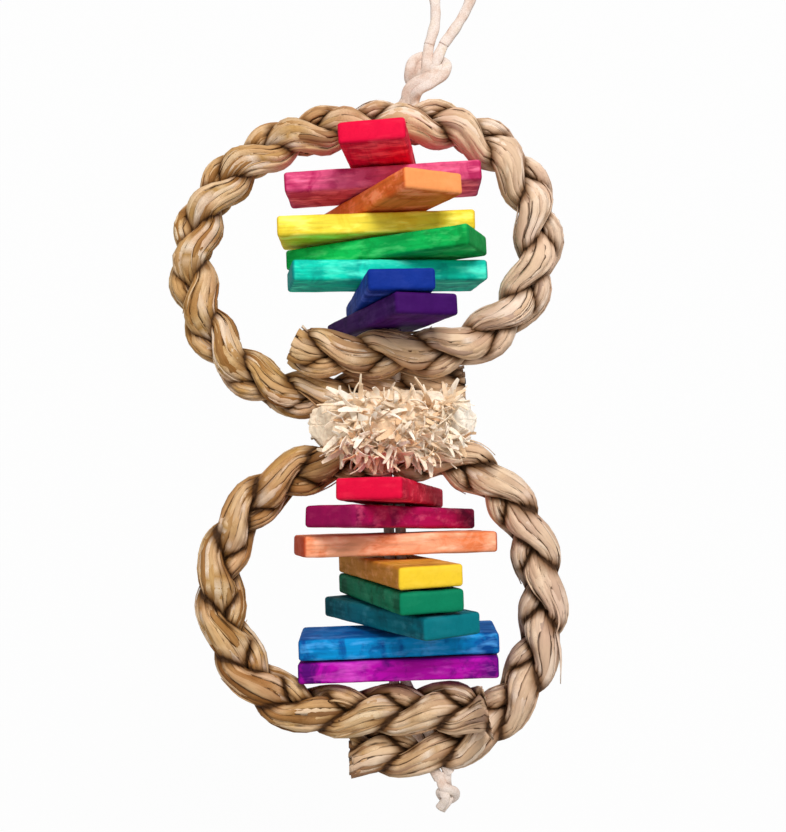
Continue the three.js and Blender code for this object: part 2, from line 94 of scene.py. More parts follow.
camera_data = bpy.data.cameras.new("camera")
camera_data.sensor_width = SENSOR
camera_data.lens = SENSOR * FOCAL_PIXELS / IMAGE_HEIGHT
camera_data.clip_start = 10 * MM
camera = bpy.data.objects.new("camera", camera_data)
camera.matrix_world = (
    Matrix.Translation((lace_x + CAMERA_RIGHT_OF_LACE, -CAMERA_AWAY, CAMERA_HEIGHT))
    @ Matrix.Rotation(math.radians(90) + LOOK_UP, 4, "X")
    @ Matrix.Rotation(ROLL, 4, "Z")
)
bpy.context.scene.collection.objects.link(camera)
bpy.context.scene.camera = camera
bpy.context.scene.view_settings.view_transform = "Standard"
print("lens %.1f mm" % camera_data.lens)

# %% [markdown]
# ## Small helpers
# Every tree of nodes below, for shapes and for finishes alike, is built with one function. It adds a node,
# gives it its settings, and links or sets its inputs. Colours are written as sRGB hex values, as a paint
# chart would give them, and one function turns them into the linear values that Blender works with.

# %% Nodes and colours
# Kinds of node that are used often. Map Range takes a value, the range that it comes from and, where that
# is not 0 to 1, the range that it goes to.
MATH = "ShaderNodeMath"
VECTOR_MATH = "ShaderNodeVectorMath"
NOISE = "ShaderNodeTexNoise"
RAMP = "ShaderNodeValToRGB"
MAP_RANGE = "ShaderNodeMapRange"
MIX = "ShaderNodeMix"
COMBINE = "ShaderNodeCombineXYZ"
SEPARATE = "ShaderNodeSeparateXYZ"
STORE = "GeometryNodeStoreNamedAttribute"
STORED = "GeometryNodeInputNamedAttribute"
SET_POSITION = "GeometryNodeSetPosition"
COMPARE = "FunctionNodeCompare"
RANDOM = "FunctionNodeRandomValue"
ATTRIBUTE = "ShaderNodeAttribute"
PRINCIPLED = "ShaderNodeBsdfPrincipled"
CYLINDER = "GeometryNodeMeshCylinder"


def linear(colour):
    """An sRGB hex colour as linear red, green, blue and alpha."""
    parts = [int(colour[i:i + 2], 16) / 255 for i in (1, 3, 5)]
    return (*[p / 12.92 if p <= 0.04045 else ((p + 0.055) / 1.055) ** 2.4 for p in parts], 1.0)


def add(tree, kind, inputs=(), **settings):
    """Add one node with its settings; each input, in order or by its key, is linked or set to a value."""
    node = tree.nodes.new(kind)
    stops = settings.pop("stops", None)
    for name, value in settings.items():
        setattr(node, name, value)
    if stops:
        elements = node.color_ramp.elements
        while len(elements) < len(stops):
            elements.new(0.5)
        for element, (position, colour) in zip(elements, stops):
            element.position = position
            element.color = linear(colour)
    for key, value in inputs.items() if isinstance(inputs, dict) else enumerate(inputs):
        if isinstance(value, bpy.types.Node):
            value = next(socket for socket in value.outputs if socket.enabled)
        if isinstance(value, bpy.types.NodeSocket):
            tree.links.new(value, node.inputs[key])
        else:
            node.inputs[key].default_value = value
    return node


def new_material(name):
    """An empty material with its node tree and a surface output."""
    material = bpy.data.materials.new(name)
    material.use_nodes = True
    material.node_tree.nodes.clear()
    output = material.node_tree.nodes.new("ShaderNodeOutputMaterial")
    return material, material.node_tree, output


print("helpers ready, for example dyed red:", [round(part, 3) for part in linear("#F0053C")])

# %% [markdown]
# ## Growing a piece from a node tree
# A Geometry Nodes tree makes what repeats or follows a path. It runs as a modifier on a start mesh, and its
# result is then kept as a plain mesh, because the finished model is exported without modifiers.

# %% Trees and plain meshes


def new_tree(name, sizes):
    """A Geometry Nodes tree with a geometry in and out and a named input for each size, and its inputs."""
    tree = bpy.data.node_groups.new(name, "GeometryNodeTree")
    tree.interface.new_socket("Geometry", in_out="INPUT", socket_type="NodeSocketGeometry")
    for title, kind in sizes.items():
        tree.interface.new_socket(title, in_out="INPUT", socket_type="NodeSocket" + kind)
    tree.interface.new_socket("Geometry", in_out="OUTPUT", socket_type="NodeSocketGeometry")
    return tree, add(tree, "NodeGroupInput").outputs


def new_piece(name, points, faces=(), edges=()):
    """An object at the origin with its place in its mesh."""
    mesh = bpy.data.meshes.new(name)
    mesh.from_pydata([tuple(point) for point in points], list(edges), list(faces))
    mesh.validate()
    piece = bpy.data.objects.new(name, mesh)
    bpy.context.scene.collection.objects.link(piece)
    return piece


def grow(piece, tree, values):
    """Run a tree on a piece and keep the result as the piece's own plain mesh."""
    modifier = piece.modifiers.new(tree.name, "NODES")
    modifier.node_group = tree
    for item in tree.interface.items_tree:
        if item.item_type == "SOCKET" and item.in_out == "INPUT" and item.name in values:
            modifier[item.identifier] = values[item.name]
    view = bpy.context.evaluated_depsgraph_get()
    grown = piece.evaluated_get(view)
    mesh = bpy.data.meshes.new_from_object(grown, preserve_all_data_layers=True, depsgraph=view)
    piece.modifiers.remove(modifier)
    piece.data = mesh
    mesh.name = piece.name


def triangles(piece):
    """The number of triangles in a piece's mesh."""
    return sum(len(face.vertices) - 2 for face in piece.data.polygons)


print("tree helpers ready")

# %% [markdown]
# ## Floor, backdrop and light
# The toy was photographed against white. A sheet of white paper curves up behind it and catches its shadow,
# and the paper looks whiter to the camera alone, so no extra light falls on the toy. A broad lamp in front,
# above and to the right is the main light, and a weak one fills from the left. As in the photograph, faces
# that look at the lens are bright and undersides are dark.

# %% Make the paper sweep
SWEEP_FLOOR_Z = cad_box[0][2] - 60 * MM
SWEEP_BACK_Y = 320 * MM
SWEEP_CURVE = 140 * MM
SWEEP_HALF_WIDTH = 1300 * MM
SWEEP_FRONT_Y = -1200 * MM
SWEEP_TOP_Z = 900 * MM
CURVE_STEPS = 12
PULP_SIZE = 4 * MM
CAMERA_GLOW = 0.97

profile = [(SWEEP_FRONT_Y, SWEEP_FLOOR_Z)]
for step in range(CURVE_STEPS + 1):
    angle = math.radians(90) * step / CURVE_STEPS
    profile.append((
        SWEEP_BACK_Y - SWEEP_CURVE + SWEEP_CURVE * math.sin(angle),
        SWEEP_FLOOR_Z + SWEEP_CURVE - SWEEP_CURVE * math.cos(angle),
    ))
profile.append((SWEEP_BACK_Y, SWEEP_TOP_Z))
points = [(side * SWEEP_HALF_WIDTH, y, z) for y, z in profile for side in (-1, 1)]
faces = [(2 * i, 2 * i + 1, 2 * i + 3, 2 * i + 2) for i in range(len(profile) - 1)]
sweep = new_piece("paper_sweep", points, faces)

# Matt white paper: no gloss, a faint pulp mottle of about 4 mm, brighter to the camera only
paper, tree, output = new_material("white_paper")
place = add(tree, "ShaderNodeTexCoord")
pulp = add(tree, NOISE, {"Vector": place.outputs["Object"], "Scale": 1 / PULP_SIZE})
tint = add(tree, RAMP, {"Fac": pulp}, stops=[(0.3, "#C6C6C4"), (0.7, "#CCCCCB")])
matt = add(tree, "ShaderNodeBsdfDiffuse", {"Color": tint})
glow = add(tree, "ShaderNodeEmission", {"Color": linear("#FFFFFF"), "Strength": 1.0})
rays = add(tree, "ShaderNodeLightPath")
share = add(tree, MATH, [rays.outputs["Is Camera Ray"], CAMERA_GLOW], operation="MULTIPLY")
both = add(tree, "ShaderNodeMixShader", [share, matt, glow])
tree.links.new(both.outputs[0], output.inputs["Surface"])
sweep.data.materials.append(paper)
for face in sweep.data.polygons:
    face.use_smooth = True
print("paper sweep with", len(faces), "panels")

# %% Set the lamps and the world
# Each lamp's place (sideways from the lace) and width in metres, and its power in watts
LAMPS = {
    "front_softbox": ((0.3, -0.9, 0.55), 0.5, 12.5),
    "left_fill": ((-0.9, -0.6, 0.0), 0.6, 2.0),
}
ROOM_FILL = 0.3
target = Vector((lace_x, 0, twist_z))

for name, (place, width, power) in LAMPS.items():
    lamp = bpy.data.lights.new(name, "AREA")
    lamp.size = width
    lamp.energy = power
    holder = bpy.data.objects.new(name, lamp)
    holder.location = (lace_x + place[0], *place[1:])
    holder.rotation_euler = (target - holder.location).to_track_quat("-Z", "Y").to_euler()
    bpy.context.scene.collection.objects.link(holder)

world = bpy.data.worlds.new("white_room")
world.use_nodes = True
tree = world.node_tree
tree.nodes.clear()
rays = add(tree, "ShaderNodeLightPath").outputs
seen = rays["Is Camera Ray"]
for kind in ("Is Glossy Ray", "Is Transmission Ray"):
    seen = add(tree, MATH, [seen, rays[kind]], operation="MAXIMUM")
fill = add(tree, "ShaderNodeBackground", {"Color": linear("#FFFFFF"), "Strength": ROOM_FILL})
white = add(tree, "ShaderNodeBackground", {"Color": linear("#FFFFFF"), "Strength": 1.0})
mixed = add(tree, "ShaderNodeMixShader", [seen, fill, white])
add(tree, "ShaderNodeOutputWorld", {"Surface": mixed})
bpy.context.scene.world = world
print(len(LAMPS), "lamps and a white room")

# %% [markdown]
# ## The leather lace
# The lace is a strip cut from pale hide, about 3 mm wide, soft and a little furry at its cut edges. It is
# swept here as a flat oval section along a line, because a plain round tube would look like a wire. The
# line is a smooth curve through a few points, as the lace was laid by hand.

# %% Sweep an oval section along a line
LACE_WIDTH = 3.2 * MM
LACE_THICKNESS = 2.3 * MM
LACE_STEP = 0.45 * MM
SECTION_SIDES = 16
SECTION_SQUARENESS = 0.75
CURVE_SAMPLES = 12
# Waves along the lace, as their share of its size and the mm in a radian: two in its width, then one in its
# thickness
EDGE_WAVES = ((0.05, 1.9), (0.04, 0.8), (0.06, 1.3))
# The curve blends four points in three rounds, each time between these pairs of their knots
BLEND_ROUNDS = (((0, 1), (1, 2), (2, 3)), ((0, 2), (1, 3)), ((1, 2),))


def distances(line):
    """How far along a line each of its points lies."""
    return np.concatenate([[0.0], np.cumsum(np.linalg.norm(np.diff(line, axis=0), axis=1))])


def line_length(line):
    """The length of a line of points."""
    return float(distances(line)[-1])


def smooth_line(controls, spacing):
    """Evenly spaced points on a centripetal curve through the control points."""
    controls = np.array(controls, float)
    padded = np.vstack([2 * controls[0] - controls[1], controls, 2 * controls[-1] - controls[-2]])
    fine = []
    for first in range(len(padded) - 3):
        four = padded[first:first + 4]
        knots = np.concatenate([[0.0], np.cumsum(np.linalg.norm(np.diff(four, axis=0), axis=1) ** 0.5)])
        for at in np.linspace(knots[1], knots[2], CURVE_SAMPLES, endpoint=False):
            blended = list(four)
            for pairs in BLEND_ROUNDS:
                blended = [
                    ((knots[b] - at) * blended[n] + (at - knots[a]) * blended[n + 1]) / (knots[b] - knots[a])
                    for n, (a, b) in enumerate(pairs)
                ]
            fine.append(blended[0])
    fine.append(controls[-1])
    fine = np.array(fine)
    along = distances(fine)
    count = max(2, round(along[-1] / spacing) + 1)
    wanted = np.linspace(0, along[-1], count)
    return np.column_stack([np.interp(wanted, along, fine[:, axis]) for axis in range(fine.shape[1])])


def swept_lace(line, width, thickness, seed):
    """Points and faces of an oval lace, flat to the front, with slightly wavy edges."""
    starts = np.random.default_rng(seed).uniform(0, 6.28, len(EDGE_WAVES))
    tangents = np.gradient(line, axis=0)
    tangents /= np.linalg.norm(tangents, axis=1)[:, None]
    sides = np.cross((0.0, 1.0, 0.0), tangents)
    sides /= np.linalg.norm(sides, axis=1)[:, None]
    rises = np.cross(tangents, sides)
    points, faces = [], []
    for centre, side, rise, along in zip(line, sides, rises, distances(line)):
        waves = [share * math.sin(along / MM / length + start)
                 for (share, length), start in zip(EDGE_WAVES, starts)]
        wide = 1 + waves[0] + waves[1]
        deep = 1 + waves[2]
        for k in range(SECTION_SIDES):
            turn = 2 * math.pi * k / SECTION_SIDES
            cosine, sine = math.cos(turn), math.sin(turn)
            across = math.copysign(abs(cosine) ** SECTION_SQUARENESS, cosine) * width / 2 * wide
            depth = math.copysign(abs(sine) ** SECTION_SQUARENESS, sine) * thickness / 2 * deep
            points.append(centre + side * across + rise * depth)
    for i in range(len(line) - 1):
        for k in range(SECTION_SIDES):
            a, b = i * SECTION_SIDES + k, i * SECTION_SIDES + (k + 1) % SECTION_SIDES
            faces.append((a, b, b + SECTION_SIDES, a + SECTION_SIDES))
    faces.append(tuple(range(SECTION_SIDES))[::-1])
    last = (len(line) - 1) * SECTION_SIDES
    faces.append(tuple(last + k for k in range(SECTION_SIDES)))
    return points, faces


def lace_piece(name, lines, width, thickness):
    """One piece of several swept laces, smooth along and flat at its cut ends."""
    points, faces = [], []
    for number, line in enumerate(lines):
        some_points, some_faces = swept_lace(line, width, thickness, number + len(line))
        faces += [tuple(len(points) + corner for corner in face) for face in some_faces]
        points += some_points
    piece = new_piece(name, points, faces)
    for face in piece.data.polygons:
        face.use_smooth = len(face.vertices) == 4
    return piece


print("lace section %.1f x %.1f mm" % (LACE_WIDTH / MM, LACE_THICKNESS / MM))

# %% [markdown]
# ### The finish of the lace
# Undyed split leather is matt, cream coloured and slightly blotchy, with a short nap. The nap is drawn as a
# fine bump, the blotches follow a slow noise, and the colour darkens a little towards pink brown in places
# where hands have touched it.

# %% Split leather
# Split leather: sueded on both sides, so it is rough, hardly glossy, with a soft sheen from its nap
BLOTCH_SIZE = 5 * MM
NAP_SIZE = 0.35 * MM
leather, tree, output = new_material("undyed_split_leather")
place = add(tree, "ShaderNodeTexCoord").outputs["Object"]
blotch = add(tree, NOISE, {"Vector": place, "Scale": 1 / BLOTCH_SIZE, "Detail": 3.0})
hide = add(tree, RAMP, {"Fac": blotch}, stops=[
    (0.28, "#CDA994"), (0.42, "#E2CCBD"), (0.58, "#EBDCD2"), (0.75, "#E6D2BC")])
nap = add(tree, NOISE, {"Vector": place, "Scale": 1 / NAP_SIZE, "Detail": 4.0})
fibres = add(tree, RAMP, {"Fac": nap}, stops=[(0.35, "#CFC4BA"), (0.6, "#FFFFFF")])
coat = add(tree, MIX, {0: 0.45, 6: hide, 7: fibres}, data_type="RGBA", blend_type="MULTIPLY")
bump = add(tree, "ShaderNodeBump", {"Height": nap, "Strength": 0.5, "Distance": 0.25 * MM})
skin = add(tree, PRINCIPLED, {
    "Base Color": coat, "Roughness": 0.85, "IOR": 1.45, "Sheen Weight": 0.15, "Sheen Roughness": 0.6,
    "Normal": bump})
tree.links.new(skin.outputs[0], output.inputs["Surface"])

lace_nodes = [name for name in frame["nodes"] if "_lace_" in name]
for name in lace_nodes:
    frame["nodes"][name].data.materials.clear()
    frame["nodes"][name].data.materials.append(leather)
print(len(lace_nodes), "lace legs finished in split leather")

# %% [markdown]
# ### The hanging loop
# Above the top knot the lace is one long loop that goes over a hook. It is a cord: a fixed length of limp
# lace held at both ends by the knot and in the middle by the hook. Its route repeats the CAD route, as
# points in mm across and up from the middle of the knot.

# %% Lay the loop
KNOT_CENTRE = np.array([-8.8, 0.0, -49.0])
LOOP_FOOT = 8.5
LOOP_ROUTE = [
    (-0.6, 1.5), (-0.2, 6), (0.7, 9.7), (1.8, 13), (2.7, 16), (3.1, 19.5), (3.0, 24), (2.4, 29), (1.7, 34),
    (1.2, 39), (2.1, 44.5), (4.9, 48.9), (8.8, 50.6), (12.7, 48.9), (15.5, 44.5), (16.4, 39), (15.9, 34),
    (15.2, 29), (14.0, 24), (12.2, 20), (9.7, 16), (7.2, 12.6), (5.0, 9.6), (3.9, 6), (3.3, 1.5),
]
whole_loop = smooth_line([KNOT_CENTRE + (across, 0, up) for across, up in LOOP_ROUTE], LACE_STEP / MM) * MM
along = distances(whole_loop)
free = (along > LOOP_FOOT * MM) & (along < along[-1] - LOOP_FOOT * MM)
loop_line = whole_loop[free]
hang_loop = lace_piece("hanging_loop", [loop_line], LACE_WIDTH, LACE_THICKNESS)
hang_loop.data.materials.append(leather)
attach(hang_loop, "upper_tier")
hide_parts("hang_loop")
print("loop of %.0f mm of lace" % (line_length(loop_line) / MM))

# %% [markdown]
# ### The two knots
# The top knot is an overhand knot in the doubled lace. Both strands come down side by side, pass under the
# wrap, turn up round the left, go behind themselves, and come down across the front as a broad band before
# they dive into the rope. Each strand gets its own line of points (across, up and towards the front, from
# the knot's middle), so the band shows its two strands.

# %% Tie the top knot
LEFT_STRAND = [
    (0.3, 9.9, 0.0), (0.2, 6.4, 0.6), (-0.2, 3.2, 1.0), (-1.1, 0.8, 0.2), (-3.0, -0.9, -1.4),
    (-5.1, -0.6, -1.0), (-5.4, 1.9, 0.5), (-4.2, 5.0, 0.6), (-1.8, 6.6, -0.6), (1.2, 6.9, -2.8),
    (4.2, 5.9, -2.4), (5.9, 3.6, 0.2), (4.9, 0.2, 2.4), (0.9, -2.9, 3.2), (-3.0, -4.9, 2.6),
    (-4.2, -6.7, 1.2), (-4.3, -8.9, 0.0),
]
RIGHT_STRAND = [
    (5.2, 9.9, 0.0), (3.6, 6.6, 0.7), (2.2, 3.6, 1.0), (0.6, 1.0, 0.2), (-1.2, -0.6, -1.5),
    (-2.9, -0.4, -1.4), (-3.3, 1.6, -0.2), (-2.2, 3.9, -0.1), (-0.5, 4.6, -1.0), (1.6, 4.9, -2.7),
    (3.5, 4.3, -2.0), (4.0, 2.6, 0.3), (2.2, 0.4, 2.3), (-1.4, -1.5, 2.9), (-5.0, -3.0, 2.3),
    (-6.6, -5.2, 1.2), (-6.9, -8.9, 0.0),
]
KNOT_THICKNESS = 2.0 * MM


def knot_route(centre, controls):
    """A strand's points in metres, from points across, up and towards the front of a knot's middle."""
    return [(centre + (across, -front, up)) * MM for across, up, front in controls]


strands = []
for controls, end in zip((LEFT_STRAND, RIGHT_STRAND), (loop_line[0], loop_line[-1])):
    route = knot_route(KNOT_CENTRE, controls)
    route[0] = np.array(end)
    strands.append(smooth_line(route, LACE_STEP))
top_knot = lace_piece("top_overhand_knot", strands, LACE_WIDTH, KNOT_THICKNESS)
top_knot.data.materials.append(leather)
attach(top_knot, "upper_tier")
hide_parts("top_knot")
print("top knot of", triangles(top_knot), "triangles")

# %% Tie the bottom knot
BOTTOM_CENTRE = np.array([-11.07, 0.0, -265.44])
BOTTOM_STRANDS = [
    [(-1.0, 7.2, 0.0), (-1.2, 5.2, 0.6), (-0.6, 3.4, 1.6), (1.0, 2.6, 1.8), (2.8, 1.6, 1.0),
     (3.0, -0.2, -0.4), (1.4, -1.4, -1.4), (-0.6, -0.6, -1.2), (-1.4, 1.0, 0.0), (-0.8, 1.6, 1.4),
     (0.2, 0.4, 2.0), (-0.6, -1.6, 1.4), (-1.8, -3.2, 0.6)],
    [(0.8, 7.2, 0.0), (0.7, 5.0, 0.2), (0.8, 3.2, -0.6), (1.4, 1.2, -0.9), (1.0, -0.8, 0.2),
     (-0.2, -2.4, 0.3), (-1.2, -3.8, -0.2)],
]
BOTTOM_WIDTH = 2.7 * MM
BOTTOM_THICKNESS = 1.9 * MM
strands = [smooth_line(knot_route(BOTTOM_CENTRE, controls), LACE_STEP) for controls in BOTTOM_STRANDS]
bottom_knot = lace_piece("bottom_knot_and_tail", strands, BOTTOM_WIDTH, BOTTOM_THICKNESS)
bottom_knot.data.materials.append(leather)
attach(bottom_knot, "lower_tier")
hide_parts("bottom_knot")
print("bottom knot of", triangles(bottom_knot), "triangles")

# %% [markdown]
# ## The seagrass rope
# Each ring is one length of rope plaited from three strands, and each strand is a bundle of long dry blades
# of seagrass. A plain tube would show neither the plait nor the grass, so the strands are ridged bundles
# that swing from side to side over and under each other, and hundreds of loose blades lie on them. All of
# it is found from the middle line of the ring: a distance along it, a strand, and a place round that
# strand.

# %% The middle lines of the rings
STRAND_COUNT = 3
STRAND_RADIUS = 3.9 * MM
PLAIT_SWING = 4.1 * MM
PLAIT_DEPTH = 2.7 * MM
PLAIT_LENGTH = 51.0 * MM
TOP_FLAT_RUN = 9.0
ARC_POINTS = 60
# Each ring in mm as in the CAD, then how its plait lies: turned round the rope in degrees, slid along it in
# mm, how much further its painted crease shade reaches in mm, and mirrored or not
RINGS = {
    "upper": dict(top=-63.419, inner=-133.583, outer=-144.695, first=45.954, second=59.154, flat=12.0,
                  outer_flat=22.0, inner_tail=28.0, outer_tail=23.0, splay=0.0, depth=9.0,
                  turn=50.0, slip=8.0, deeper_shade=0.0, mirror=1),
    "lower": dict(top=-164.195, inner=-238.793, outer=-252.190, first=52.754, second=43.854, flat=20.0,
                  outer_flat=5.0, inner_tail=25.0, outer_tail=16.0, splay=11.0, depth=5.0,
                  turn=-50.0, slip=0.0, deeper_shade=0.5, mirror=-1),
}


def arc(x, z, wide, high, start, stop):
    """Points on an ellipse from one angle to another, in degrees."""
    angles = np.radians(np.linspace(start, stop, ARC_POINTS))
    return np.column_stack([x + wide * np.cos(angles), z + high * np.sin(angles)])


def ring_line(ring):
    """The rope's middle line in metres, from its inner tail once round to its outer tail."""
    first_half = (ring["top"] - ring["inner"]) / 2
    second_half = (ring["top"] - ring["outer"]) / 2
    first_mid = ring["top"] - first_half
    second_mid = ring["top"] - second_half
    flat, first, second = ring["flat"], ring["first"], ring["second"]
    tail = math.degrees(math.asin((ring["inner_tail"] - flat) / (first - flat)))
    tail_arc = arc(-flat, first_mid, first - flat, first_half, 270 - tail, 270)
    route = np.vstack([
        tail_arc,
        arc(flat, first_mid, first - flat, first_half, 270, 360),
        arc(TOP_FLAT_RUN, first_mid, first - TOP_FLAT_RUN, first_half, 0, 90)[1:],
        arc(-TOP_FLAT_RUN, second_mid, second - TOP_FLAT_RUN, second_half, 90, 180),
        arc(-ring["outer_flat"], second_mid, second - ring["outer_flat"], second_half, 180, 270)[1:],
        [[ring["outer_tail"], ring["outer"]]],
    ])
    along = distances(route)
    tail_length = along[len(tail_arc) - 1]
    crossing = (tail_length + 2 * flat, along[-2])
    even = np.linspace(0, along[-1], round(along[-1]) + 1)
    share = np.clip((even - crossing[0]) / (crossing[1] - crossing[0]), 0, 1)
    back = share * share * (3 - 2 * share)
    forward = ring["splay"] * np.clip(1 - even / tail_length, 0, 1) ** 2
    x = np.interp(even, along, route[:, 0]) * ring["mirror"]
    z = np.interp(even, along, route[:, 1])
    y = ring["depth"] * (back - 0.5) - forward
    return np.column_stack([x + lace_x / MM, y, z]) * MM


ring_lines = {name: ring_line(ring) for name, ring in RINGS.items()}
for name, line in ring_lines.items():
    print("%s ring: %.0f mm of rope" % (name, line_length(line) / MM))

# %% [markdown]
# ### From a place on a strand to a place in space
# The first small tree is shared by the strands and by the blades on them. In a plait a strand swings to one
# side and back once in a plait length, and meanwhile it passes twice over and twice under. Three such
# strands, a third of a length apart, make the plait. The tree also measures the gap to the next strand, so
# that the finish can paint shade into the creases where strands meet.

# %% A tree that finds a point on the plait
on_plait = bpy.data.node_groups.new("point_on_plait", "GeometryNodeTree")
on_plait.interface.new_socket("Route", in_out="INPUT", socket_type="NodeSocketGeometry")
PLAIT_SIZES = ("Strand Radius", "Swing", "Crossing", "Plait Length", "Phase", "Turn", "Hand", "Flatten")
for title in ("Along", "Strand", "Angle", "Distance", *PLAIT_SIZES):
    on_plait.interface.new_socket(title, in_out="INPUT", socket_type="NodeSocketFloat")
on_plait.interface.new_socket("Position", in_out="OUTPUT", socket_type="NodeSocketVector")
on_plait.interface.new_socket("Gap", in_out="OUTPUT", socket_type="NodeSocketFloat")

wanted = add(on_plait, "NodeGroupInput").outputs
backward = (0.0, 1.0, 0.0)
sample = add(on_plait, "GeometryNodeSampleCurve", {"Curves": wanted["Route"], "Length": wanted["Along"]},
             mode="LENGTH").outputs
outward = add(on_plait, VECTOR_MATH, [backward, sample["Tangent"]], operation="CROSS_PRODUCT")
outward = add(on_plait, VECTOR_MATH, [outward], operation="NORMALIZE")
outward = add(on_plait, VECTOR_MATH, {0: outward, "Scale": wanted["Hand"]}, operation="SCALE")
turn_cosine = add(on_plait, MATH, [wanted["Turn"]], operation="COSINE")
turn_sine = add(on_plait, MATH, [wanted["Turn"]], operation="SINE")
less_sine = add(on_plait, MATH, [turn_sine, -1.0], operation="MULTIPLY")
sideways = add(on_plait, VECTOR_MATH, {0: outward, "Scale": turn_cosine}, operation="SCALE")
sideways = add(on_plait, VECTOR_MATH, [backward, turn_sine, sideways], operation="MULTIPLY_ADD")
deepways = add(on_plait, VECTOR_MATH, {0: outward, "Scale": less_sine}, operation="SCALE")
deepways = add(on_plait, VECTOR_MATH, [backward, turn_cosine, deepways], operation="MULTIPLY_ADD")

turns = add(on_plait, MATH, [wanted["Along"], wanted["Plait Length"]], operation="DIVIDE")
turns = add(on_plait, MATH, [wanted["Strand"], 1 / STRAND_COUNT, turns], operation="MULTIPLY_ADD")
phase = add(on_plait, MATH, [turns, 2 * math.pi, wanted["Phase"]], operation="MULTIPLY_ADD")


def stretched(vector, outward, across, along):
    """Scale a vector in the rope's section, by one factor along a strand's outward way and one across it."""
    part = add(on_plait, VECTOR_MATH, [vector, outward], operation="DOT_PRODUCT")
    more = add(on_plait, MATH, [along, across], operation="SUBTRACT")
    part = add(on_plait, MATH, [part, more], operation="MULTIPLY")
    scaled = add(on_plait, VECTOR_MATH, {0: vector, "Scale": across}, operation="SCALE")
    return add(on_plait, VECTOR_MATH, [outward, part, scaled], operation="MULTIPLY_ADD")


plaited = []
for number in range(STRAND_COUNT):
    own_phase = add(on_plait, MATH, [phase, number * 2 * math.pi / STRAND_COUNT], operation="ADD")
    swing = add(on_plait, MATH, [own_phase], operation="SINE")
    swing = add(on_plait, MATH, [swing, wanted["Swing"]], operation="MULTIPLY")
    double = add(on_plait, MATH, [own_phase, 2.0], operation="MULTIPLY")
    double = add(on_plait, MATH, [double], operation="SINE")
    rise = add(on_plait, MATH, [double, wanted["Crossing"]], operation="MULTIPLY")
    centre = add(on_plait, COMBINE, [swing, rise])
    from_middle = add(on_plait, VECTOR_MATH, [centre], operation="LENGTH")
    from_middle = add(on_plait, MATH, [from_middle, wanted["Swing"]], operation="DIVIDE")
    from_middle = add(on_plait, MATH, [from_middle, 1.0], operation="MINIMUM")
    pressed = add(on_plait, MATH, [from_middle, wanted["Flatten"]], operation="MULTIPLY")
    plaited.append({
        "centre": centre,
        "outward": add(on_plait, VECTOR_MATH, [centre], operation="NORMALIZE"),
        "wide": add(on_plait, MATH, [pressed, 1.0], operation="ADD"),
        "thin": add(on_plait, MATH, [pressed, -0.5, 1.0], operation="MULTIPLY_ADD"),
    })
cosine = add(on_plait, MATH, [wanted["Angle"]], operation="COSINE")
sine = add(on_plait, MATH, [wanted["Angle"]], operation="SINE")
arrow = add(on_plait, COMBINE, [cosine, sine])
own = plaited[0]
arrow = stretched(arrow, own["outward"], own["wide"], own["thin"])
spot = add(on_plait, VECTOR_MATH, [arrow, wanted["Distance"], own["centre"]], operation="MULTIPLY_ADD")
to_next = []
for other in plaited[1:]:
    away = add(on_plait, VECTOR_MATH, [spot, other["centre"]], operation="SUBTRACT")
    narrowed = add(on_plait, MATH, [1.0, other["wide"]], operation="DIVIDE")
    thickened = add(on_plait, MATH, [1.0, other["thin"]], operation="DIVIDE")
    away = stretched(away, other["outward"], narrowed, thickened)
    to_next.append(add(on_plait, VECTOR_MATH, [away], operation="LENGTH"))
gap = add(on_plait, MATH, to_next, operation="MINIMUM")
gap = add(on_plait, MATH, [gap, wanted["Strand Radius"]], operation="SUBTRACT")
parts = add(on_plait, SEPARATE, [spot]).outputs
point = add(on_plait, VECTOR_MATH, [sideways, parts[0], sample["Position"]], operation="MULTIPLY_ADD")
point = add(on_plait, VECTOR_MATH, [deepways, parts[1], point], operation="MULTIPLY_ADD")
add(on_plait, "NodeGroupOutput", {"Position": point, "Gap": gap})
print("point_on_plait has", len(on_plait.nodes), "nodes")

# %% [markdown]
# ### The blades of grass
# The second tree deals out the blades: so many round each strand and so many rows along it. Each blade
# draws its own start, width, lift, slant and tone by chance, with a fixed seed. A cylinder of a few dozen
# faces stands for every blade, and each of its points is then moved to its place: across the blade it runs
# round the strand, and along the blade it runs along the rope.

# %% Deal out the blades
ROPE_SIZES = (
    *PLAIT_SIZES, "Core Radius", "Core Back", "Ridge Height", "Blade Radius", "Blade Length",
    "Blade Half Angle", "Blade Thickness", "Blade Crown", "Lift", "Tip Lift", "Ragged", "Taper From", "Flare",
    "Shade Clearance")
ROPE_COUNTS = ("Ridges", "Blades Around", "Rows", "Blade Steps", "Seed")
rope_tree, given = new_tree("seagrass_rope", {
    **dict.fromkeys(ROPE_SIZES, "Float"), **dict.fromkeys(ROPE_COUNTS, "Int"), "Material": "Material"})
route = add(rope_tree, "GeometryNodeMeshToCurve", {"Mesh": given["Geometry"]})
total = add(rope_tree, "GeometryNodeCurveLength", {"Curve": route})

CHANCES = {
    "place": (0.1, 0.9), "long": (0.35, 0.65), "turn": (-0.5, 0.5), "slant": (-0.35, 0.35),
    "lift": (-1.0, 1.0), "wide": (0.65, 1.3), "tone": (0.0, 1.0), "ragged_start": (0.0, 1.0),
    "ragged_end": (0.0, 1.0), "tip": (0.2, 1.0),
}
chance = {}
for number, (title, (low, high)) in enumerate(CHANCES.items()):
    seed = add(rope_tree, MATH, [given["Seed"], float(number)], operation="ADD")
    chance[title] = add(rope_tree, RANDOM, {2: low, 3: high, "Seed": seed}, data_type="FLOAT")

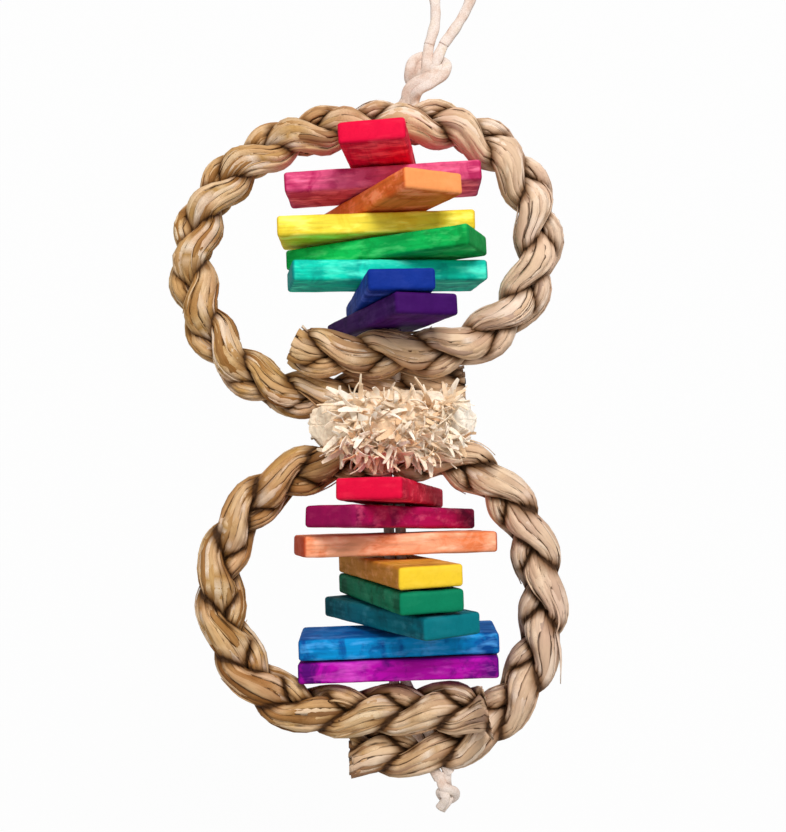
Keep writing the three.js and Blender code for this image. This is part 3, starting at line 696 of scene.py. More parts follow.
index = add(rope_tree, "GeometryNodeInputIndex")
strand = add(rope_tree, MATH, [index, STRAND_COUNT], operation="MODULO")
bundle = add(rope_tree, MATH, [index, STRAND_COUNT], operation="DIVIDE")
bundle = add(rope_tree, MATH, [bundle], operation="FLOOR")
seat = add(rope_tree, MATH, [bundle, given["Blades Around"]], operation="MODULO")
row = add(rope_tree, MATH, [bundle, given["Blades Around"]], operation="DIVIDE")
row = add(rope_tree, MATH, [row], operation="FLOOR")

row_share = add(rope_tree, MATH, [row, chance["place"]], operation="ADD")
row_share = add(rope_tree, MATH, [row_share, given["Rows"]], operation="DIVIDE")
middle = add(rope_tree, MATH, [row_share, total], operation="MULTIPLY")
half = add(rope_tree, MATH, [given["Blade Length"], chance["long"]], operation="MULTIPLY")
first = add(rope_tree, MATH, [chance["ragged_start"], given["Ragged"]], operation="MULTIPLY")
last = add(rope_tree, MATH, [chance["ragged_end"], given["Ragged"]], operation="MULTIPLY")
last = add(rope_tree, MATH, [total, last], operation="SUBTRACT")
start = add(rope_tree, MATH, [middle, half], operation="SUBTRACT")
start = add(rope_tree, MATH, [start, first], operation="MAXIMUM")
stop = add(rope_tree, MATH, [middle, half], operation="ADD")
stop = add(rope_tree, MATH, [stop, last], operation="MINIMUM")
seat_turn = add(rope_tree, MATH, [seat, chance["turn"]], operation="ADD")
seat_turn = add(rope_tree, MATH, [seat_turn, given["Blades Around"]], operation="DIVIDE")
turn = add(rope_tree, MATH, [seat_turn, 2 * math.pi], operation="MULTIPLY")
lift = add(rope_tree, MATH, [chance["lift"], given["Lift"]], operation="MULTIPLY")
wide = add(rope_tree, MATH, [chance["wide"], given["Blade Half Angle"]], operation="MULTIPLY")
tip = add(rope_tree, MATH, [chance["tip"], given["Tip Lift"]], operation="MULTIPLY")

count = add(rope_tree, MATH, [given["Blades Around"], given["Rows"]], operation="MULTIPLY")
count = add(rope_tree, MATH, [count, STRAND_COUNT], operation="MULTIPLY")
dealt = add(rope_tree, "GeometryNodePoints", {"Count": count})
for title, value in {"strand": strand, "start": start, "stop": stop, "turn": turn, "slant": chance["slant"],
                     "lift": lift, "wide": wide, "tone": chance["tone"], "tip": tip}.items():
    dealt = add(rope_tree, STORE, {"Geometry": dealt, "Name": title, "Value": value},
                data_type="FLOAT", domain="POINT")
print("blades are dealt out by", len(rope_tree.nodes), "nodes")

# %% [markdown]
# ### Shaping the blades
# The cylinder's own places are kept as a named attribute before it is copied, so that after copying each
# point still knows how far across, through and along its blade it is. The blade is crowned across, and
# narrow and tucked in at its ends. Where the rope is cut it stays broad and opens a little.

# %% Shape the blades
BLADE_SIDES = 6
TIP_SHARE = 0.12
BLUNT_RUN = (2 * MM, 6 * MM)
TUCK = 0.5 * MM
FRAY_RUN = 14 * MM
lens = add(rope_tree, CYLINDER, {
    "Vertices": BLADE_SIDES, "Side Segments": given["Blade Steps"], "Radius": 1.0, "Depth": 1.0})
lens = add(rope_tree, STORE, {
    "Geometry": lens, "Name": "local", "Value": add(rope_tree, "GeometryNodeInputPosition")},
    data_type="FLOAT_VECTOR", domain="POINT")
blades = add(rope_tree, "GeometryNodeInstanceOnPoints", {"Points": dealt, "Instance": lens})
blades = add(rope_tree, "GeometryNodeRealizeInstances", {"Geometry": blades})

kept = {}
for title in ("strand", "start", "stop", "turn", "slant", "lift", "wide", "tone", "tip"):
    kept[title] = add(rope_tree, STORED, {"Name": title}, data_type="FLOAT")
local = add(rope_tree, STORED, {"Name": "local"}, data_type="FLOAT_VECTOR")
axes = add(rope_tree, SEPARATE, [local]).outputs

share = add(rope_tree, MATH, [axes[2], 0.5], operation="ADD")
span = add(rope_tree, MATH, [kept["stop"], kept["start"]], operation="SUBTRACT")
along_rope = add(rope_tree, MATH, [share, span, kept["start"]], operation="MULTIPLY_ADD")
from_middle = add(rope_tree, MATH, [axes[2]], operation="ABSOLUTE")
taper = add(rope_tree, MAP_RANGE, [from_middle, given["Taper From"], 0.5, 1.0, TIP_SHARE],
            interpolation_type="SMOOTHSTEP")
to_end = add(rope_tree, MATH, [total, along_rope], operation="SUBTRACT")
to_end = add(rope_tree, MATH, [to_end, along_rope], operation="MINIMUM")
cut = add(rope_tree, MAP_RANGE, [to_end, *BLUNT_RUN, 1.0, 0.0])
taper = add(rope_tree, MATH, [taper, cut], operation="MAXIMUM")
angle = add(rope_tree, MATH, [kept["slant"], axes[2], kept["turn"]], operation="MULTIPLY_ADD")
reach = add(rope_tree, MATH, [kept["wide"], taper], operation="MULTIPLY")
across = add(rope_tree, MATH, [axes[0], reach], operation="MULTIPLY")
angle = add(rope_tree, MATH, [angle, across], operation="SUBTRACT")

bulge = add(rope_tree, MATH, [axes[0], axes[0]], operation="MULTIPLY")
bulge = add(rope_tree, MATH, [1.0, bulge], operation="SUBTRACT")
bulge = add(rope_tree, MATH, [bulge, taper], operation="MULTIPLY")
away = add(rope_tree, MATH, [given["Blade Radius"], kept["lift"]], operation="ADD")
away = add(rope_tree, MATH, [bulge, given["Blade Crown"], away], operation="MULTIPLY_ADD")
thick = add(rope_tree, MATH, [axes[1], given["Blade Thickness"]], operation="MULTIPLY")
away = add(rope_tree, MATH, [thick, 0.5, away], operation="MULTIPLY_ADD")
tuck = add(rope_tree, MATH, [taper, 1.0], operation="SUBTRACT")
away = add(rope_tree, MATH, [tuck, TUCK, away], operation="MULTIPLY_ADD")
curl_up = add(rope_tree, MATH, [share, 3.0], operation="POWER")
away = add(rope_tree, MATH, [curl_up, kept["tip"], away], operation="MULTIPLY_ADD")
frayed = add(rope_tree, MAP_RANGE, [to_end, 0.0, FRAY_RUN, 1.0, 0.0], interpolation_type="SMOOTHSTEP")
frayed = add(rope_tree, MATH, [frayed, kept["tone"]], operation="MULTIPLY")
away = add(rope_tree, MATH, [frayed, given["Flare"], away], operation="MULTIPLY_ADD")


def placed_on_plait(shape, along, angle, distance, across):
    """Move a shape's points to their places on the plait and keep what the finish needs."""
    where = add(rope_tree, "GeometryNodeGroup", {
        "Route": route, "Along": along, "Strand": kept["strand"], "Angle": angle, "Distance": distance,
        **{title: given[title] for title in PLAIT_SIZES}}, node_tree=on_plait)
    # Painted shade: the gap to the next strand, shifted here, sets how dark the creases are painted
    gap_for_shade = add(rope_tree, MATH, [where.outputs["Gap"], given["Shade Clearance"]], operation="ADD")
    for title, value in {"along": along, "across": across, "gap": gap_for_shade}.items():
        shape = add(rope_tree, STORE, {"Geometry": shape, "Name": title, "Value": value},
                    data_type="FLOAT", domain="POINT")
    return add(rope_tree, SET_POSITION, {"Geometry": shape, "Position": where.outputs["Position"]})


blades = placed_on_plait(blades, along_rope, angle, away, axes[0])
print("blades are shaped, the tree has", len(rope_tree.nodes), "nodes")

# %% [markdown]
# ### The strands under the blades
# The three strands themselves are long bundles with a ridge for each blade in their skin. They use the same
# tree that finds a point on the plait. Each ridge gets a tone of its own, which changes slowly along it.

# %% Make the strands and end the tree
CORE_SIDES = 60
CORE_STEPS = 240
SWAY_LENGTH = 9 * MM
SWAY = 0.45
TONE_LENGTH = 22 * MM
# Steps that set the noise of each ridge and each strand apart
RIDGE_APART = 7.3
STRAND_APART = 5.1
rods = add(rope_tree, "GeometryNodePoints", {"Count": STRAND_COUNT})
rods = add(rope_tree, STORE, {
    "Geometry": rods, "Name": "strand", "Value": index}, data_type="FLOAT", domain="POINT")
tube = add(rope_tree, CYLINDER, {
    "Vertices": CORE_SIDES, "Side Segments": CORE_STEPS, "Radius": 1.0, "Depth": 1.0})
tube = add(rope_tree, STORE, {
    "Geometry": tube, "Name": "local", "Value": add(rope_tree, "GeometryNodeInputPosition")},
    data_type="FLOAT_VECTOR", domain="POINT")
core = add(rope_tree, "GeometryNodeInstanceOnPoints", {"Points": rods, "Instance": tube})
core = add(rope_tree, "GeometryNodeRealizeInstances", {"Geometry": core})
room = add(rope_tree, MATH, [given["Core Back"], -2.0, total], operation="MULTIPLY_ADD")
core_along = add(rope_tree, MATH, [share, room, given["Core Back"]], operation="MULTIPLY_ADD")
core_angle = add(rope_tree, MATH, [axes[1], axes[0]], operation="ARCTAN2")
sway = add(rope_tree, MATH, [core_along, 1 / SWAY_LENGTH, kept["strand"]], operation="MULTIPLY_ADD")
sway = add(rope_tree, MATH, [sway], operation="SINE")
round_share = add(rope_tree, MATH, [core_angle, 1 / (2 * math.pi)], operation="MULTIPLY")
ridge = add(rope_tree, MATH, [round_share, given["Ridges"]], operation="MULTIPLY")
ridge = add(rope_tree, MATH, [sway, SWAY, ridge], operation="MULTIPLY_ADD")
ridge_across = add(rope_tree, MATH, [ridge], operation="FRACT")
ridge_across = add(rope_tree, MATH, [ridge_across, 2.0, -1.0], operation="MULTIPLY_ADD")
ridge = add(rope_tree, MATH, [ridge], operation="FLOOR")
ridge = add(rope_tree, MATH, [ridge, given["Ridges"]], operation="FLOORED_MODULO")
crown = add(rope_tree, MATH, [ridge_across, ridge_across], operation="MULTIPLY")
crown = add(rope_tree, MATH, [1.0, crown], operation="SUBTRACT")
core_away = add(rope_tree, MATH, [crown, given["Ridge Height"], given["Core Radius"]],
                operation="MULTIPLY_ADD")
tone_at = add(rope_tree, COMBINE, [
    add(rope_tree, MATH, [core_along, 1 / TONE_LENGTH], operation="MULTIPLY"),
    add(rope_tree, MATH, [ridge, RIDGE_APART], operation="MULTIPLY"),
    add(rope_tree, MATH, [kept["strand"], STRAND_APART, given["Seed"]], operation="MULTIPLY_ADD")])
core_tone = add(rope_tree, NOISE, {"Vector": tone_at, "Scale": 1.0, "Detail": 1.0})
core_tone = add(rope_tree, MAP_RANGE, [core_tone, 0.3, 0.7])
core = add(rope_tree, STORE, {
    "Geometry": core, "Name": "tone", "Value": core_tone}, data_type="FLOAT", domain="POINT")
core = placed_on_plait(core, core_along, core_angle, core_away, ridge_across)
has_core = add(rope_tree, COMPARE, [given["Core Radius"], 0.0], data_type="FLOAT", operation="GREATER_THAN")
core = add(rope_tree, "GeometryNodeSwitch", {"Switch": has_core, "True": core}, input_type="GEOMETRY")
joined = add(rope_tree, "GeometryNodeJoinGeometry", {"Geometry": blades})
rope_tree.links.new(core.outputs[0], joined.inputs[0])
joined = add(rope_tree, "GeometryNodeSetShadeSmooth", {"Geometry": joined})
joined = add(rope_tree, "GeometryNodeRealizeInstances", {"Geometry": joined})
joined = add(rope_tree, "GeometryNodeSetMaterial", {"Geometry": joined, "Material": given["Material"]})
add(rope_tree, "NodeGroupOutput", {"Geometry": joined})
print("seagrass_rope has", len(rope_tree.nodes), "nodes")

# %% [markdown]
# ### The finish of the grass
# Dry seagrass is straw coloured, with pinkish, olive and brown blades among the pale ones and fine veins
# along each blade. The colour comes from the blade's own tone, the veins from a noise that is stretched
# along the blade. The grass is painted paler and pinker towards the right, a painted light from that side.
# Blade edges are painted dark here and there, a painted shade where blades part, and the creases between
# strands get the darkest painted shade.

# %% Dry seagrass
# Dry seagrass: matt to satin plant fibre, with veins about 0.4 mm apart drawn a little coarser so they show
VEIN_LENGTH = 8 * MM
VEINS_ACROSS = 2.0
TONE_APART = 97.0
PATCH_SIZE = 13 * MM
PARTING_SIZE = 5 * MM
PAINTED_LIGHT_RUN = (lace_x - 30 * MM, lace_x + 50 * MM)
SHADE_GAPS = (2.6 * MM, 0.2 * MM)
DARKEST_SHADE_GAP = 0.7 * MM

seagrass, tree, output = new_material("dry_seagrass")
tone, along_blade, across_blade, gap = (
    add(tree, ATTRIBUTE, attribute_name=name).outputs["Fac"] for name in ("tone", "along", "across", "gap"))
blade_colour = add(tree, RAMP, {"Fac": tone}, stops=[
    (0.0, "#8C6032"), (0.12, "#B0824C"), (0.26, "#CDA370"), (0.42, "#EACBA4"), (0.56, "#C49A5E"),
    (0.72, "#F4E0CA"), (0.86, "#DDB88A"), (1.0, "#AC8048")])
veins_at = add(tree, COMBINE, [
    add(tree, MATH, [value, scale], operation="MULTIPLY")
    for value, scale in ((along_blade, 1 / VEIN_LENGTH), (across_blade, VEINS_ACROSS), (tone, TONE_APART))])
veins = add(tree, NOISE, {"Vector": veins_at, "Scale": 1.3, "Detail": 4.0, "Roughness": 0.65})
vein_shade = add(tree, RAMP, {"Fac": veins}, stops=[(0.3, "#C4AE98"), (0.48, "#F6EEE4"), (0.68, "#FFFFFF")])
place = add(tree, "ShaderNodeTexCoord").outputs["Object"]
patch = add(tree, NOISE, {"Vector": place, "Scale": 1 / PATCH_SIZE, "Detail": 2.0})
patch_shade = add(tree, RAMP, {"Fac": patch}, stops=[(0.32, "#E0C2AC"), (0.5, "#FFFFFF"), (0.68, "#E4D6A4")])
grass = blade_colour
for shade in (vein_shade, patch_shade):
    grass = add(tree, MIX, {0: 0.6, 6: grass, 7: shade}, data_type="RGBA", blend_type="MULTIPLY")

place_x = add(tree, SEPARATE, [place]).outputs[0]
# Painted light: the grass is mixed towards a pale pink to the right, as if lit from that side
painted_light_right = add(tree, MAP_RANGE, [place_x, *PAINTED_LIGHT_RUN, 0.0, 0.4])
# Painted shade: blade edges are darkened where the parting noise lets blades part
parting_shade = add(tree, MATH, [across_blade], operation="ABSOLUTE")
parting_shade = add(tree, MAP_RANGE, [parting_shade, 0.62, 0.98], interpolation_type="SMOOTHSTEP")
parting = add(tree, NOISE, {"Vector": place, "Scale": 1 / PARTING_SIZE, "Detail": 1.0})
parting = add(tree, MAP_RANGE, [parting, 0.4, 0.52, 0.12, 0.95])
parting_shade = add(tree, MATH, [parting_shade, parting], operation="MULTIPLY")
# Painted shade: the nearer a point is to the next strand, the darker brown it is painted, darkest in the
# creases
shaded = add(tree, MAP_RANGE, [gap, *SHADE_GAPS, 0.0, 0.85], interpolation_type="SMOOTHSTEP")
darkest_crease_shade = add(tree, MAP_RANGE, [gap, DARKEST_SHADE_GAP, 0.0, 0.0, 0.85], interpolation_type="SMOOTHSTEP")
for share, colour in ((painted_light_right, "#FAE2D4"), (parting_shade, "#4A2808"), (shaded, "#6A4012"), (darkest_crease_shade, "#301804")):
    grass = add(tree, MIX, {0: share, 6: grass, 7: linear(colour)}, data_type="RGBA")
rough = add(tree, MAP_RANGE, [veins, 0.2, 0.8, 0.78, 0.52])
ridge = add(tree, "ShaderNodeBump", {"Height": veins, "Strength": 0.7, "Distance": 0.35 * MM})
blade_skin = add(tree, PRINCIPLED, {
    "Base Color": grass, "Roughness": rough, "IOR": 1.46, "Specular IOR Level": 0.18, "Normal": ridge})
tree.links.new(blade_skin.outputs[0], output.inputs["Surface"])
print("dry_seagrass has", len(tree.nodes), "nodes")

# %% Plait both rings
STRANDS = {
    "Strand Radius": STRAND_RADIUS, "Swing": PLAIT_SWING, "Plait Length": PLAIT_LENGTH, "Flatten": 0.3,
    "Core Radius": 3.35 * MM, "Core Back": 1.2 * MM, "Ridges": 10, "Ridge Height": 0.5 * MM,
    "Blades Around": 1, "Rows": 1, "Blade Radius": 2.0 * MM, "Blade Length": 10 * MM,
    "Blade Half Angle": math.radians(21), "Blade Thickness": 0.5 * MM, "Blade Crown": 0.25 * MM,
    "Blade Steps": 10, "Lift": 0.25 * MM, "Tip Lift": 0.0, "Ragged": 0.9 * MM, "Taper From": 0.1,
    "Flare": 0.4 * MM, "Shade Clearance": 0.0, "Material": seagrass}
BLADES = {**STRANDS, "Core Radius": 0.0, "Blade Radius": 3.6 * MM}
OUTER_BLADES = {**BLADES, "Blades Around": 7, "Rows": 26, "Blade Length": 30 * MM}
LOOSE_FIBRES = {
    **BLADES, "Blades Around": 5, "Rows": 6, "Blade Length": 22 * MM, "Blade Half Angle": math.radians(4.5),
    "Blade Thickness": 0.3 * MM, "Tip Lift": 1.6 * MM, "Taper From": 0.2}
STRAY_WISPS = {
    **BLADES, "Blades Around": 1, "Rows": 3, "Blade Length": 22 * MM, "Blade Half Angle": math.radians(6),
    "Blade Thickness": 0.4 * MM, "Tip Lift": 6 * MM, "Taper From": 0.2}
# The cut ends are spared some of the painted crease shade
END_BLADES = {
    **BLADES, "Blades Around": 6, "Rows": 1, "Blade Radius": 1.9 * MM, "Blade Length": 60 * MM,
    "Blade Half Angle": math.radians(32), "Blade Thickness": 1.1 * MM, "Blade Steps": 8, "Taper From": 0.49,
    "Shade Clearance": 1.2 * MM}
END_RUN = 10 * MM
SEED_STEP = 40


def plait_rope(name, line, sizes, seed, before=0.0):
    """Grow rope along a line, which starts a given length along its ring, and let it ride with the ring."""
    tier = name.split("_")[0]
    ring = RINGS[tier]
    piece = new_piece(name, line, edges=[(i, i + 1) for i in range(len(line) - 1)])
    grow(piece, rope_tree, {
        **sizes, "Crossing": ring["mirror"] * PLAIT_DEPTH, "Hand": float(ring["mirror"]),
        "Turn": math.radians(ring["turn"]),
        "Phase": 2 * math.pi * (before - ring["slip"] * MM) / PLAIT_LENGTH,
        # The painted crease shade reaches further on the lower ring
        "Shade Clearance": sizes["Shade Clearance"] - ring["deeper_shade"] * MM, "Seed": seed})
    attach(piece, tier + "_tier")
    print(piece.name, triangles(piece), "triangles")
    return piece


for number, (tier, line) in enumerate(ring_lines.items()):
    seed = SEED_STEP * number
    rope = plait_rope(tier + "_seagrass_rope", line, STRANDS, 11 + seed)
    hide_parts(tier + "_ring")
    plait_rope(tier + "_outer_blades", line, OUTER_BLADES, 500 + seed)
    plait_rope(tier + "_loose_fibres", line, LOOSE_FIBRES, 300 + seed)
    plait_rope(tier + "_stray_wisps", line, STRAY_WISPS, 900 + seed)
    steps = round(END_RUN / MM)
    plait_rope(tier + "_inner_cut_end", line[:steps], END_BLADES, 700 + seed)
    before_end = line_length(line[:1 - steps])
    plait_rope(tier + "_outer_cut_end", line[-steps:], END_BLADES, 720 + seed, before_end)

# %% [markdown]
# ## The dyed slats
# The slats are sawn softwood sticks, about 58 by 19 by 6 mm, dipped in food dye and tumbled so that their
# edges are soft. One tree makes the rounded, slightly uneven block and drills its hole, and each slat is
# then laid where its CAD solid lies. The slat keeps its own places in an attribute, so that the grain
# follows each slat.

# %% A tree for a slat
SLAT_GRID = {"Vertices X": 76, "Vertices Y": 27, "Vertices Z": 10}
UNEVEN_SIZE = 9 * MM
DRILL_LENGTH = 30 * MM
DRILL_SIDES = 40
SHARP_CORNER = math.radians(60)


def per(sizes):
    """How often a pattern repeats in a metre, for its size each way."""
    return tuple(1 / size for size in sizes)


slat_tree, given = new_tree("dyed_slat", {
    "Size": "Vector", "Shift": "Vector", "Edge Radius": "Float", "Hole Radius": "Float",
    "Unevenness": "Float", "Seed": "Float", "Material": "Material"})
block = add(slat_tree, "GeometryNodeMeshCube", {"Size": given["Size"], **SLAT_GRID})
position = add(slat_tree, "GeometryNodeInputPosition")
half_size = add(slat_tree, VECTOR_MATH, [given["Size"], (0.5, 0.5, 0.5)], operation="MULTIPLY")
inner = add(slat_tree, VECTOR_MATH, [half_size, given["Edge Radius"]], operation="SUBTRACT")
inner_low = add(slat_tree, VECTOR_MATH, [inner, (-1.0, -1.0, -1.0)], operation="MULTIPLY")
nearest = add(slat_tree, VECTOR_MATH, [position, inner], operation="MINIMUM")
nearest = add(slat_tree, VECTOR_MATH, [nearest, inner_low], operation="MAXIMUM")
outwards = add(slat_tree, VECTOR_MATH, [position, nearest], operation="SUBTRACT")
outwards = add(slat_tree, VECTOR_MATH, [outwards], operation="NORMALIZE")
rounded = add(slat_tree, VECTOR_MATH, [outwards, given["Edge Radius"], nearest], operation="MULTIPLY_ADD")
shaped = add(slat_tree, SET_POSITION, {"Geometry": block, "Position": rounded})
drift = add(slat_tree, COMBINE, [given["Seed"], given["Seed"], given["Seed"]])
noise_at = add(slat_tree, VECTOR_MATH, [position, per([UNEVEN_SIZE] * 3), drift], operation="MULTIPLY_ADD")
uneven = add(slat_tree, NOISE, {"Vector": noise_at, "Scale": 1.0, "Detail": 2.0})
uneven = add(slat_tree, MATH, [uneven, 0.5], operation="SUBTRACT")
uneven = add(slat_tree, MATH, [uneven, given["Unevenness"]], operation="MULTIPLY")
normal = add(slat_tree, "GeometryNodeInputNormal")
shift = add(slat_tree, VECTOR_MATH, {0: normal, "Scale": uneven}, operation="SCALE")
shaped = add(slat_tree, SET_POSITION, {"Geometry": shaped, "Offset": shift})
shaped = add(slat_tree, SET_POSITION, {"Geometry": shaped, "Offset": given["Shift"]})
drill = add(slat_tree, CYLINDER, {
    "Vertices": DRILL_SIDES, "Side Segments": 1, "Radius": given["Hole Radius"], "Depth": DRILL_LENGTH})
bored = add(slat_tree, "GeometryNodeMeshBoolean", {"Mesh 1": shaped, "Mesh 2": drill}, operation="DIFFERENCE",
            solver="EXACT")
bored = add(slat_tree, "GeometryNodeSetShadeSmooth", {"Geometry": bored, "Shade Smooth": True})
corner = add(slat_tree, "GeometryNodeInputMeshEdgeAngle")
sharp = add(slat_tree, COMPARE, [corner, SHARP_CORNER], data_type="FLOAT", operation="GREATER_THAN")
bored = add(slat_tree, "GeometryNodeSetShadeSmooth", {
    "Geometry": bored, "Selection": sharp, "Shade Smooth": False}, domain="EDGE")
from_middle = add(slat_tree, VECTOR_MATH, [position, given["Shift"]], operation="SUBTRACT")
bored = add(slat_tree, STORE, {
    "Geometry": bored, "Name": "slat_place", "Value": from_middle}, data_type="FLOAT_VECTOR", domain="POINT")
bored = add(slat_tree, "GeometryNodeRealizeInstances", {"Geometry": bored})
bored = add(slat_tree, "GeometryNodeSetMaterial", {"Geometry": bored, "Material": given["Material"]})
add(slat_tree, "NodeGroupOutput", {"Geometry": bored})
print("dyed_slat has", len(slat_tree.nodes), "nodes")

# %% [markdown]
# ### The finish of the slats
# Food dye soaks into soft wood unevenly: it blotches over a few millimetres, more so towards the ends, it
# streaks along the grain, and it wears thin in patches. One function builds that finish for any dye, with
# its own colours for the faces, the blotches, the end grain and the long sides. The end grain and long side
# colours are partly the dye and partly painted light and painted shade, lighter or darker as those faces
# are lit.

# %% Dyed pine
SLAT_SIZE = (58.5 * MM, 19.0 * MM, 6.2 * MM)
HALF_LONG = SLAT_SIZE[0] / 2
HALF_WIDE = SLAT_SIZE[1] / 2
GRAIN_SIZE = (18 * MM, 1.3 * MM, 1.3 * MM)
CLOUD_SIZE = 6 * MM
WORN_SIZE = (11 * MM, 5 * MM, 3 * MM)
PORE_SIZE = 0.5 * MM


def dyed_pine(name, face, blotch, end, side):
    """Sawn pine dipped in dye: matt, blotchy, with grain along the slat, and ends and long sides of their own
    colour, partly dye and partly painted light and shade.
    """
    material, tree, output = new_material(name)
    place = add(tree, ATTRIBUTE, attribute_name="slat_place").outputs["Vector"]
    axes = add(tree, SEPARATE, [place]).outputs
    lengthways, crossways = (add(tree, MATH, [axes[axis]], operation="ABSOLUTE") for axis in (0, 1))
    grain_at = add(tree, VECTOR_MATH, [place, per(GRAIN_SIZE)], operation="MULTIPLY")
    grain = add(tree, NOISE, {"Vector": grain_at, "Scale": 1.0, "Detail": 4.0, "Roughness": 0.6})
    where = add(tree, "ShaderNodeTexCoord").outputs["Object"]
    cloud = add(tree, NOISE, {
        "Vector": where, "Scale": 1 / CLOUD_SIZE, "Detail": 4.0, "Roughness": 0.6, "Distortion": 0.6})
    # Painted light and shade: the long sides take their own colour, lighter or darker as they are lit
    flank = add(tree, MAP_RANGE, [crossways, HALF_WIDE - 0.9 * MM, HALF_WIDE - 0.2 * MM],
                interpolation_type="SMOOTHSTEP")
    dye = add(tree, MIX, {0: flank, 6: linear(face), 7: linear(side)}, data_type="RGBA")
    to_tip = add(tree, MAP_RANGE, [lengthways, 0.6 * HALF_LONG, HALF_LONG, 0.0, 0.16])
    wet = add(tree, MATH, [cloud, to_tip], operation="ADD")
    soaked = add(tree, MAP_RANGE, [wet, 0.48, 0.68, 0.0, 1.0])
    worn_at = add(tree, VECTOR_MATH, [where, per(WORN_SIZE)], operation="MULTIPLY")
    worn = add(tree, NOISE, {"Vector": worn_at, "Scale": 1.0, "Detail": 3.0, "Roughness": 0.6})
    worn = add(tree, MAP_RANGE, [worn, 0.5, 0.7, 0.0, 0.7])
    thin_dye = add(tree, "ShaderNodeHueSaturation", {"Saturation": 0.88, "Value": 1.6, "Color": dye})
    # The end grain takes its own colour, partly dye soaking in and partly painted light and shade
    tip = add(tree, MAP_RANGE, [lengthways, HALF_LONG - 1.0 * MM, HALF_LONG - 0.2 * MM],
              interpolation_type="SMOOTHSTEP")
    tip = add(tree, MATH, [tip, 0.85], operation="MULTIPLY")
    colour = dye
    for share, layer in ((soaked, linear(blotch)), (worn, thin_dye), (tip, linear(end))):
        colour = add(tree, MIX, {0: share, 6: colour, 7: layer}, data_type="RGBA")
    streak = add(tree, RAMP, {"Fac": grain}, stops=[(0.28, "#C4BCB8"), (0.5, "#F8F6F4"), (0.7, "#FFFFFF")])
    streaked = add(tree, MATH, [tip, -0.45, 0.55], operation="MULTIPLY_ADD")
    colour = add(tree, MIX, {0: streaked, 6: colour, 7: streak}, data_type="RGBA", blend_type="MULTIPLY")
    pore = add(tree, NOISE, {"Vector": where, "Scale": 1 / PORE_SIZE, "Detail": 2.0})
    height = add(tree, MATH, [pore, 0.4, grain], operation="MULTIPLY_ADD")
    bump = add(tree, "ShaderNodeBump", {"Height": height, "Strength": 0.45, "Distance": 0.25 * MM})
    rough = add(tree, MAP_RANGE, [grain, 0.3, 0.7, 0.72, 0.55])
    skin = add(tree, PRINCIPLED, {
        "Base Color": colour, "Roughness": rough, "IOR": 1.5, "Specular IOR Level": 0.08, "Normal": bump})
    tree.links.new(skin.outputs[0], output.inputs["Surface"])
    return material


# Colours of each dye, as face, blotch, end grain and long side; the end grain and long side colours also hold
# painted light and painted shade
DYES_AND_PAINTED_LIGHT = {
    "upper_red": ("#EE0A3E", "#C40A34", "#E8083C", "#E00A3A"),
    "upper_pink": ("#E8608C", "#C02C62", "#B01450", "#E45886"),
    "upper_orange": ("#F4823E", "#E06428", "#F99F5E", "#EE7E3C"),
    "upper_yellow": ("#FFEE4E", "#F6D434", "#E8C024", "#FDE848"),
    "upper_green": ("#0CC05A", "#089A44", "#08853E", "#0CBE58"),
    "upper_turquoise": ("#0CE0BE", "#08B4A0", "#067C80", "#0CDCBC"),
    "upper_blue": ("#0C3CA8", "#0A2A84", "#0A2C86", "#0C3AA2"),
    "upper_purple": ("#460A68", "#300650", "#3A0658", "#3E085E"),
    "lower_red": ("#E80A3E", "#C00A36", "#E0083A", "#D80A3A"),
    "lower_magenta": ("#BC1058", "#7E0844", "#8E084A", "#B80E56"),
    "lower_orange": ("#F79A6C", "#F28450", "#B43618", "#FFB088"),
    "lower_yellow": ("#DCA038", "#C48430", "#F8D230", "#BC7C2C"),
    "lower_green": ("#047650", "#035438", "#06805A", "#047450"),
    "lower_teal": ("#04707E", "#03505E", "#04747E", "#046A7A"),
    "lower_blue": ("#0668B4", "#064C98", "#0656A0", "#0690D4"),
    "lower_violet": ("#A806A0", "#5A0674", "#560678", "#BC08AC"),
}
woods = {name: dyed_pine(name + "_dyed_pine", *colours) for name, colours in DYES_AND_PAINTED_LIGHT.items()}
print(len(woods), "dyed pine finishes")

# %% Cut, drill and lay the slats
HOLE_RADIUS = 3.95 * MM
SLAT_EDGE = 1.0 * MM
SLAT_UNEVENNESS = 0.45 * MM
NOISE_APART = 3.7
# A long way that leans more than this to the front or back is turned to the front, any other to the right
FRONT_LEAN = 0.3
for number, (name, wood) in enumerate(woods.items()):
    tier, colour = name.split("_")
    node = "%s_slat_%s" % (tier, colour)
    joint = joints[name + "_spin"]
    centre = Vector(joint["pos_m"])
    up = Vector(joint["axis"]).normalized()
    corners = np.array([vertex.co for vertex in frame["nodes"][node].data.vertices]) - np.array(centre)
    flat = corners - np.outer(corners @ np.array(up), np.array(up))
    long_way = Vector(np.linalg.eigh(flat.T @ flat)[1][:, -1])
    if long_way.y > FRONT_LEAN or (abs(long_way.y) <= FRONT_LEAN and long_way.x < 0):
        long_way.negate()
    across_way = up.cross(long_way).normalized()
    reach = corners @ np.array(long_way)
    shift = (reach.max() + reach.min()) / 2
    slat = new_piece(name + "_slat", [(0, 0, 0)])
    grow(slat, slat_tree, {
        "Size": SLAT_SIZE, "Shift": (shift, 0.0, 0.0), "Edge Radius": SLAT_EDGE, "Hole Radius": HOLE_RADIUS,
        "Unevenness": SLAT_UNEVENNESS, "Seed": NOISE_APART * number, "Material": wood})
    turn = Matrix((long_way, across_way, up)).transposed().to_4x4()
    slat.data.transform(Matrix.Translation(centre) @ turn)
    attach(slat, node)
    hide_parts(node)
print(len(woods), "slats, the last with", triangles(slat), "triangles")
